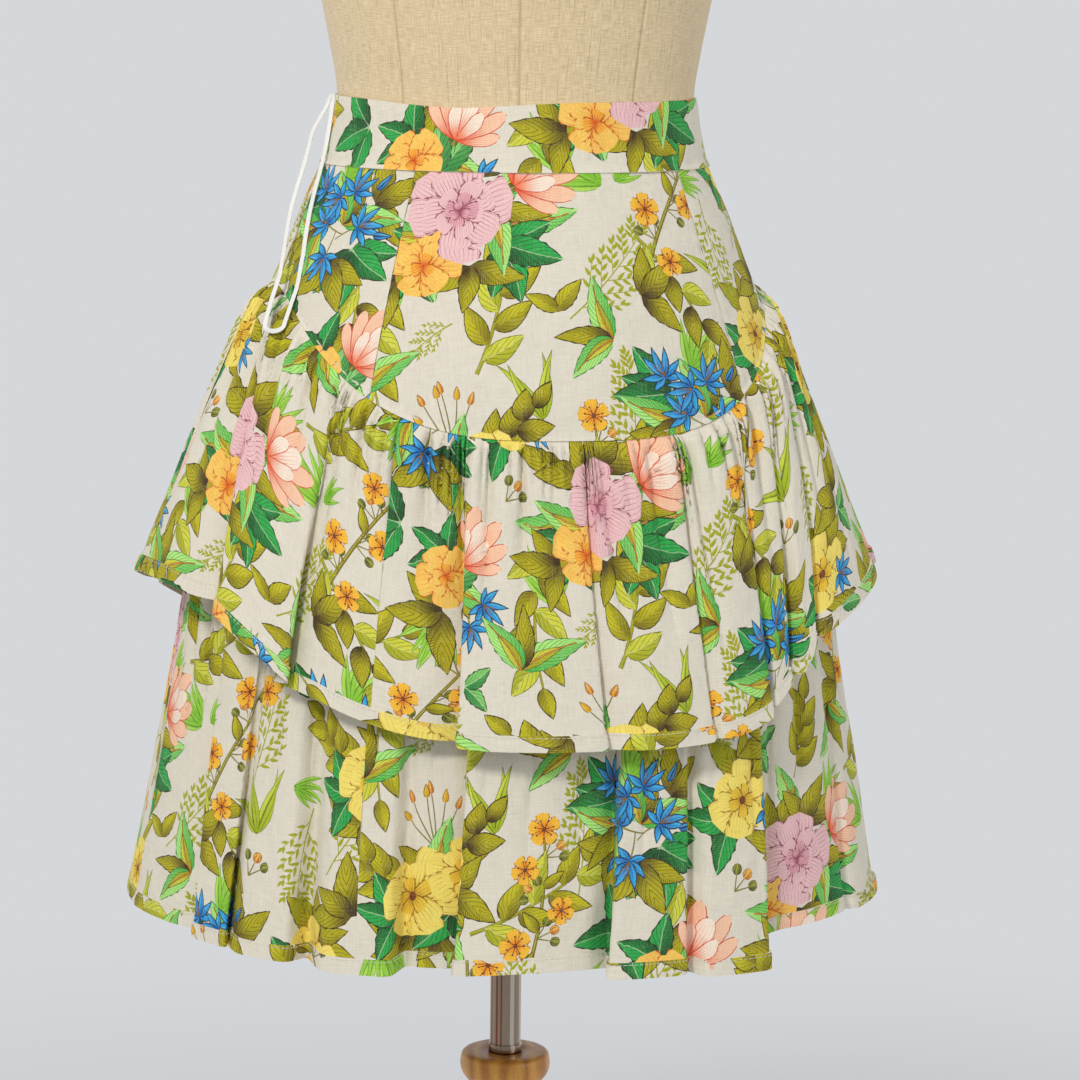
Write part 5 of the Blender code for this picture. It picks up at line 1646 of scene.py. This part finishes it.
def lathe(name, outline, steps, material, node, slot, centre=(0.0, 0.0)):
    """A turned piece from (radius, height) points; corners of 38 degrees and more stay sharp."""
    angles = np.linspace(0, 2 * math.pi, steps, endpoint=False)
    verts, faces, index = [], [], []
    for radius, height in outline:
        first = len(verts)
        if radius < 1e-6:
            index.append([first] * steps)
            verts.append((*centre, height))
        else:
            index.append(list(range(first, first + steps)))
            verts.extend((centre[0] + radius * math.cos(a), centre[1] + radius * math.sin(a), height) for a in angles)
    for upper, lower in zip(index, index[1:]):
        for c in range(steps):
            d = (c + 1) % steps
            quad = tuple(dict.fromkeys((upper[c], upper[d], lower[d], lower[c])))
            if len(quad) > 2:
                faces.append(quad[::-1])
    mesh = shaped(name, verts, faces)
    mesh.set_sharp_from_angle(angle=math.radians(38))
    put(new_object(name, mesh, material), slot, node)


def rounded(points, radius, steps=4):
    """A polyline with each inner corner cut to a small arc."""
    points = [np.array(p, float) for p in points]
    out = [points[0]]
    for before, here, after in zip(points, points[1:], points[2:]):
        a, b = before - here, after - here
        la, lb = np.linalg.norm(a), np.linalg.norm(b)
        cut = min(radius, 0.45 * la, 0.45 * lb)
        start, end = here + a / la * cut, here + b / lb * cut
        for k in range(steps + 1):
            t = k / steps
            out.append((1 - t) ** 2 * start + 2 * t * (1 - t) * here + t * t * end)
    out.append(points[-1])
    return out


def smooth_line(points, per_span=6):
    """Catmull-Rom curve through points."""
    points = np.array(points, float)
    ext = np.concatenate([2 * points[:1] - points[1:2], points, 2 * points[-1:] - points[-2:-1]])
    out = []
    for i in range(1, len(ext) - 2):
        for k in range(per_span):
            t = k / per_span
            a, b, c, d = ext[i - 1], ext[i], ext[i + 1], ext[i + 2]
            out.append(0.5 * ((2 * b) + (c - a) * t + (2 * a - 5 * b + 4 * c - d) * t * t
                              + (3 * b - a - 3 * c + d) * t**3))
    out.append(ext[-2])
    return np.array(out)


def build_stand():
    neck = FORM_SECTIONS[-1]
    base = neck[0] + GAP
    knob = [(0.0, 0.034), (0.0045, 0.0335), (0.0085, 0.0312), (0.0108, 0.0262), (0.0092, 0.0208), (0.0072, 0.0180),
            (0.0100, 0.0163), (0.0200, 0.0158)]
    disc = [knob[-1], (0.034, 0.0133), (0.044, 0.0100), (0.0515, 0.0062), (0.0538, 0.0030), (0.0536, 0.0004)]
    knob, disc = (smooth_line([(radius, base + up) for radius, up in line], 5) for line in (knob, disc))
    cap = np.concatenate([knob, disc[1:], [(0.052, base), (0.0, base)]])
    lathe("neck_cap_wood", cap, 96, BEECH, "neck_cap", "beech", (0.0, neck[3]))

    bottom = FORM_SECTIONS[0, 0] - GAP
    socket = rounded([(0.0, bottom), (0.030, bottom), (0.030, bottom - 0.004), (0.016, bottom - 0.006),
                      (0.016, bottom - 0.012), (0.0, bottom - 0.012)], 0.0009)
    lathe("pole_socket_steel", socket, 96, STEEL, "pole_socket", "steel")

    top = 0.352
    seat, foot = top - 0.020, 0.225 - 0.105
    pole_top, pole_bottom = bottom - 0.012 - GAP, seat + GAP
    pole = [(0.0, pole_top), (0.0103, pole_top), (0.011, pole_top - 0.0007), (0.011, 0.3585), (0.0116, 0.3582),
            (0.0118, 0.3572), (0.0118, 0.3528), (0.0112, 0.3523), (0.011, 0.3520), (0.011, pole_bottom + 0.0007),
            (0.0103, pole_bottom), (0.0, pole_bottom)]
    lathe("pole_steel_tube", pole, 128, STEEL, "pole", "steel")

    head = smooth_line([(0.0285, top), (0.0304, top - 0.0010), (0.0314, top - 0.0034), (0.0320, top - 0.009),
                        (0.0305, top - 0.015), (0.0262, top - 0.021), (0.0215, top - 0.029), (0.019, top - 0.042),
                        (0.0178, 0.286), (0.0175, 0.262)], 6)
    bead = smooth_line([(0.0175, 0.262), (0.0188, 0.2555), (0.0216, 0.2515), (0.022, 0.244), (0.0216, 0.2365),
                        (0.019, 0.232)], 6)
    tip = smooth_line([(0.0186, foot + 0.002), (0.0160, foot - 0.006), (0.0105, foot - 0.0115),
                       (0.0, foot - 0.014)], 5)
    wood = np.concatenate([[(0.0, seat), (0.0113, seat), (0.0113, top - 0.0006), (0.0121, top)], head, bead[1:],
                           [(0.019, 0.200), (0.019, foot + 0.006)], tip])
    lathe("wood_hub_turned", wood, 128, BEECH, "wood_hub", "beech")

    root, reach = 0.019 + GAP + 0.0006, 0.210
    upper = smooth_line([(root, 0.225), (0.050, 0.222), (0.090, 0.190), (0.130, 0.130), (0.165, 0.062),
                         (0.192, 0.032), (reach, 0.020)], 7)
    under = smooth_line([(0.184, 0.0008), (0.166, 0.012), (0.140, 0.046), (0.104, 0.110), (0.070, 0.152),
                         (0.045, 0.162), (root, 0.160)], 7)
    loop = np.concatenate([upper, [(reach, 0.0), (0.186, 0.0)], under])
    for k in range(3):
        turn = math.pi / 2 + 2 * math.pi * k / 3
        bm = bmesh.new()
        near, far = ([bm.verts.new((*turned(x, y, turn), z)) for x, z in loop] for y in (-0.010, 0.010))
        bm.faces.new(near)
        bm.faces.new(far[::-1])
        for i in range(len(loop)):
            j = (i + 1) % len(loop)
            bm.faces.new((near[j], near[i], far[i], far[j]))
        bmesh.ops.recalc_face_normals(bm, faces=bm.faces)
        edges = [e for e in bm.edges if any(len(f.verts) > 4 for f in e.link_faces)]
        bmesh.ops.bevel(bm, geom=edges, offset=0.0026, segments=4, profile=0.5, affect="EDGES", clamp_overlap=True)
        mesh = from_bmesh(f"leg_{k + 1}_wood", bm)
        mesh.set_sharp_from_angle(angle=math.radians(35))
        put(new_object(f"leg_{k + 1}_wood", mesh, BEECH), "beech", f"leg_{k + 1}")


def from_bmesh(name, bm):
    mesh = bpy.data.meshes.new(name)
    bm.to_mesh(mesh)
    bm.free()
    mesh.shade_smooth()
    return mesh


# ================================================================ ribbon and zip
def build_ribbon():
    """The hanger loop: a narrow satin ribbon on the CAD ribbon's path."""
    half_spread, length, bow, gap, thick = 0.0066, 0.150, 0.003, 0.0003, 0.0010
    top_angle, foot_angle = math.radians(-83), math.radians(-60)
    turn_radius = half_spread * 0.6
    strand = []
    for k in range(34):
        t = k / 33
        spread = (half_spread - 0.0035) * math.sin(math.pi * t) ** 0.8
        strand.append((0.0032 + (turn_radius - 0.0032) * t + spread, t, 1.0))
    loop = list(strand)
    for k in range(1, 16):
        a = math.pi * k / 16
        loop.append((turn_radius * math.cos(a), 1 + turn_radius * math.sin(a) / length, math.cos(a)))
    loop += [(-s, t, -r) for s, t, r in reversed(strand)]
    loop = np.array(loop)
    sideways, t, front = loop[:, 0], loop[:, 1], loop[:, 2]
    height = WAIST_TOP - 0.001 - length * t
    angle = top_angle + (foot_angle - top_angle) * t + sideways / curve(FITTED_SECTIONS, 1, height)
    stand = gap + thick + bow * np.sin(np.pi * np.minimum(t / 0.7, 1.0))
    stand = stand + 0.32 * np.maximum(seam_height(angle) + 0.012 - height, 0) - 0.0003
    stand = stand + (0.5 - 0.5 * front) * (0.0078 * ease(t / 0.18) + 0.0015)
    centres = fitted(angle, height, stand)
    e = 0.001
    along = fitted(angle + e, height) - fitted(angle - e, height)
    up = fitted(angle, height + e) - fitted(angle, height - e)
    outward = unit(np.cross(along, up))
    tangent = unit(np.roll(centres, -1, 0) - np.roll(centres, 1, 0))
    side = unit(np.cross(tangent, outward))
    # the ribbon leans a little this way and that
    path = along_line(centres)
    forward = unit(np.cross(tangent, np.array([[-0.35, -1.0, 0.0]])))
    forward *= np.sign((forward * side).sum(1, keepdims=True) + 1e-9)
    lean = (0.78 + 0.18 * np.sin(path * 2 * np.pi / 0.09 + 0.6))[:, None]
    side = unit(side * (1 - lean) + forward * lean)
    face = np.cross(side, tangent)
    upper = [(-0.0016, 0.00005), (-0.0014, 0.00032), (-0.0007, 0.00024), (0.0007, 0.00024), (0.0014, 0.00032),
             (0.0016, 0.00005)]
    section = upper + [(s, -f) for s, f in upper[::-1]]
    m, n = len(section), len(centres)
    verts = np.concatenate([centres + side * s + face * f for s, f in section])      # section by section
    faces, uvs, bake = [], [], []
    for i in range(n):
        j = (i + 1) % n
        end = path[j] if j else path[-1] + 0.002
        for k in range(m):
            q = (k + 1) % m
            faces.append((k * n + i, k * n + j, q * n + j, q * n + i))
            for at, edge, row in ((path[i], k, k), (end, k, k), (end, q, k + 1), (path[i], q, k + 1)):
                uvs.append((section[edge][0], at))
                bake.append((0.004 + 0.99 * at / (path[-1] + 0.004), 0.01 + 0.98 * (row / m)))
    mesh = shaped("hanger_ribbon_satin", verts.tolist(), faces, uvs, bake)
    bm = bmesh.new()
    bm.from_mesh(mesh)
    bmesh.ops.recalc_face_normals(bm, faces=bm.faces)
    bm.to_mesh(mesh)
    bm.free()
    mesh.shade_smooth()
    put(new_object("hanger_ribbon_satin", mesh, SATIN), "ribbon", "hanger_ribbon")


def build_zip():
    """Tape and two rows of coil teeth in the centre-back slit."""
    back = SKIRT_TURN + math.pi
    low, high = float(seam_height(np.array([back]))[0]) + 0.0006, WAIST_TOP - 0.004
    heights = np.linspace(low, high, 60)
    # the tape's section, once round: four lines in front and two behind
    front, behind, half_width = -0.0007, -0.0011, 0.0013
    lines = [fitted(back + side * half_width / curve(FITTED_SECTIONS, 1, heights), heights, out)
             for side, out in ((-1, front), (-0.5, front), (0.5, front), (1, front), (-1, behind), (1, behind))]
    n = len(heights)
    verts = np.concatenate(lines)
    loop = (0, 1, 2, 3, 5, 4)
    faces = [(a * n + i, b * n + i, b * n + i + 1, a * n + i + 1)
             for a, b in zip(loop, loop[1:] + loop[:1]) for i in range(n - 1)]
    co = verts[[v for f in faces for v in f]]
    tape = new_object("zip_tape_woven", shaped("zip_tape_woven", verts.tolist(), faces, co[:, [0, 2]]), ZIP_TAPE)
    put(tape, "zip_tape", "zip_chain")
    # teeth
    bm = bmesh.new()
    pitch, e = 0.0012, 0.001
    for h in np.arange(low + 0.001, high - 0.014, pitch):
        for side in (-1, 1):
            hh = np.array([h + (pitch / 2 if side > 0 else 0)])
            along = unit((fitted(np.array([back + e]), hh) - fitted(np.array([back - e]), hh))[0])
            up = unit((fitted(np.array([back]), hh + e) - fitted(np.array([back]), hh - e))[0])
            basis = Matrix((along * 0.0008, up * 0.00042, np.cross(along, up) * 0.00045)).transposed().to_4x4()
            basis.translation = Vector(fitted(np.array([back]), hh, -0.00045)[0] + along * side * 0.00035)
            bmesh.ops.create_icosphere(bm, subdivisions=1, radius=1.0, matrix=basis)
    put(new_object("zip_teeth", from_bmesh("zip_teeth", bm), ZIP_METAL), "zip_metal")
    for name in ("zip_slider", "zip_pull_tab"):
        for obj in bpy.data.objects:
            if obj.type == "MESH" and (obj.name == name or obj.name.startswith(name + ".")):
                for slot in obj.material_slots:
                    slot.material = ZIP_METAL


# ================================================================ room, light, camera
BEHIND, BEFORE = (0.664, 0.680, 0.698), (0.44, 0.445, 0.45)


def surroundings(n, direction_y):
    """Pale walls all round, brighter behind the object than in front of it."""
    return n.blend(n.step(direction_y, -0.7, 0.5), BEFORE, BEHIND)


def build_room():
    bpy.ops.mesh.primitive_plane_add(size=120.0, location=(0, 0, 0))
    floor = bpy.context.active_object
    floor.name = "floor"
    n = Surfacing("studio_floor")
    place = n.place()
    cloudiness = n.noise(place, (1.5, 1.5, 1), 3.0)
    x, y, _ = n.split(place)
    away = n.math("SQRT", x * x + y * y)
    far = n.step(away, 0.35, 1.7)
    n.finish(n.blend(cloudiness * 0.15, (0.70, 0.715, 0.735), (0.66, 0.67, 0.69)), 0.9)
    # farther off the floor runs into the pale surroundings without a horizon
    toward_y = n.math("DIVIDE", y, n.math("MAXIMUM", away, 0.001))
    glow = n.value("ShaderNodeEmission", (("Color", surroundings(n, toward_y)),))
    both = n.value("ShaderNodeMixShader", enumerate((far, Value(n, n.shader.outputs[0]), glow)))
    n.link(both, n.out.inputs[0])
    floor.data.materials.append(n.owner)

    world = bpy.data.worlds.new("studio")
    bpy.context.scene.world = world
    n = Nodes(world)
    direction_y = n.split(n.place("Generated"))[1]
    back = n.value("ShaderNodeBackground", ((0, surroundings(n, direction_y)),))
    n.node("ShaderNodeOutputWorld", ((0, back),))
    bpy.context.scene.view_settings.view_transform = "Standard"

    for name, location, aim, size, power, colour in (
            ("key", (-1.15, -2.3, 2.55), 0.8, (0.5, 0.5), 45, (1.0, 0.98, 0.95)),
            ("fill", (2.6, -1.8, 1.5), 0.8, (1.2, 1.8), 13, (0.96, 0.98, 1.0)),
            ("rim", (0.8, 2.6, 2.4), 0.9, (2.0, 1.5), 6, (1, 1, 1))):
        data = bpy.data.lights.new(name, "AREA")
        data.shape = "RECTANGLE"
        data.size, data.size_y = size
        data.energy, data.color = power, colour
        light = new_object(name, data)
        light.location = location
        light.rotation_euler = (Vector((0, 0, aim)) - Vector(location)).to_track_quat("-Z", "Y").to_euler()


FOCAL_PIXELS, FRAME_PIXELS, SENSOR = 3700, 1080, 36


def build_camera():
    distance, height = 2.55, 1.144
    tilt, turn, roll, pan = (math.radians(a) for a in (9.4, -1.5, 0.7, 0.46))
    data = bpy.data.cameras.new("camera")
    data.sensor_width = SENSOR
    data.sensor_fit = "HORIZONTAL"
    data.lens = FOCAL_PIXELS / FRAME_PIXELS * SENSOR
    data.clip_start, data.clip_end = 0.05, 50
    camera = new_object("camera", data)
    yaw = turn - pan
    forward = Vector((-math.sin(yaw) * math.cos(tilt), math.cos(yaw) * math.cos(tilt), -math.sin(tilt)))
    level = Vector((math.cos(yaw), math.sin(yaw), 0))
    upright = level.cross(forward)
    right = level * math.cos(roll) + upright * math.sin(roll)
    up = -level * math.sin(roll) + upright * math.cos(roll)
    matrix = Matrix((right, up, -forward)).transposed().to_4x4()
    matrix.translation = Vector((distance * math.sin(turn), -distance * math.cos(turn), height))
    camera.matrix_world = matrix
    bpy.context.scene.camera = camera


# ================================================================ put together
build_camera()
build_room()
build_form()
build_stand()
build_fitted()
build_tier("tier_1", 200, ((0, 0), (210, 120), (60, 260), (20, 70)))
build_tier("tier_2", 600, ((120, 40), (20, 280), (250, 150), (190, 30)))
build_ribbon()
build_zip()
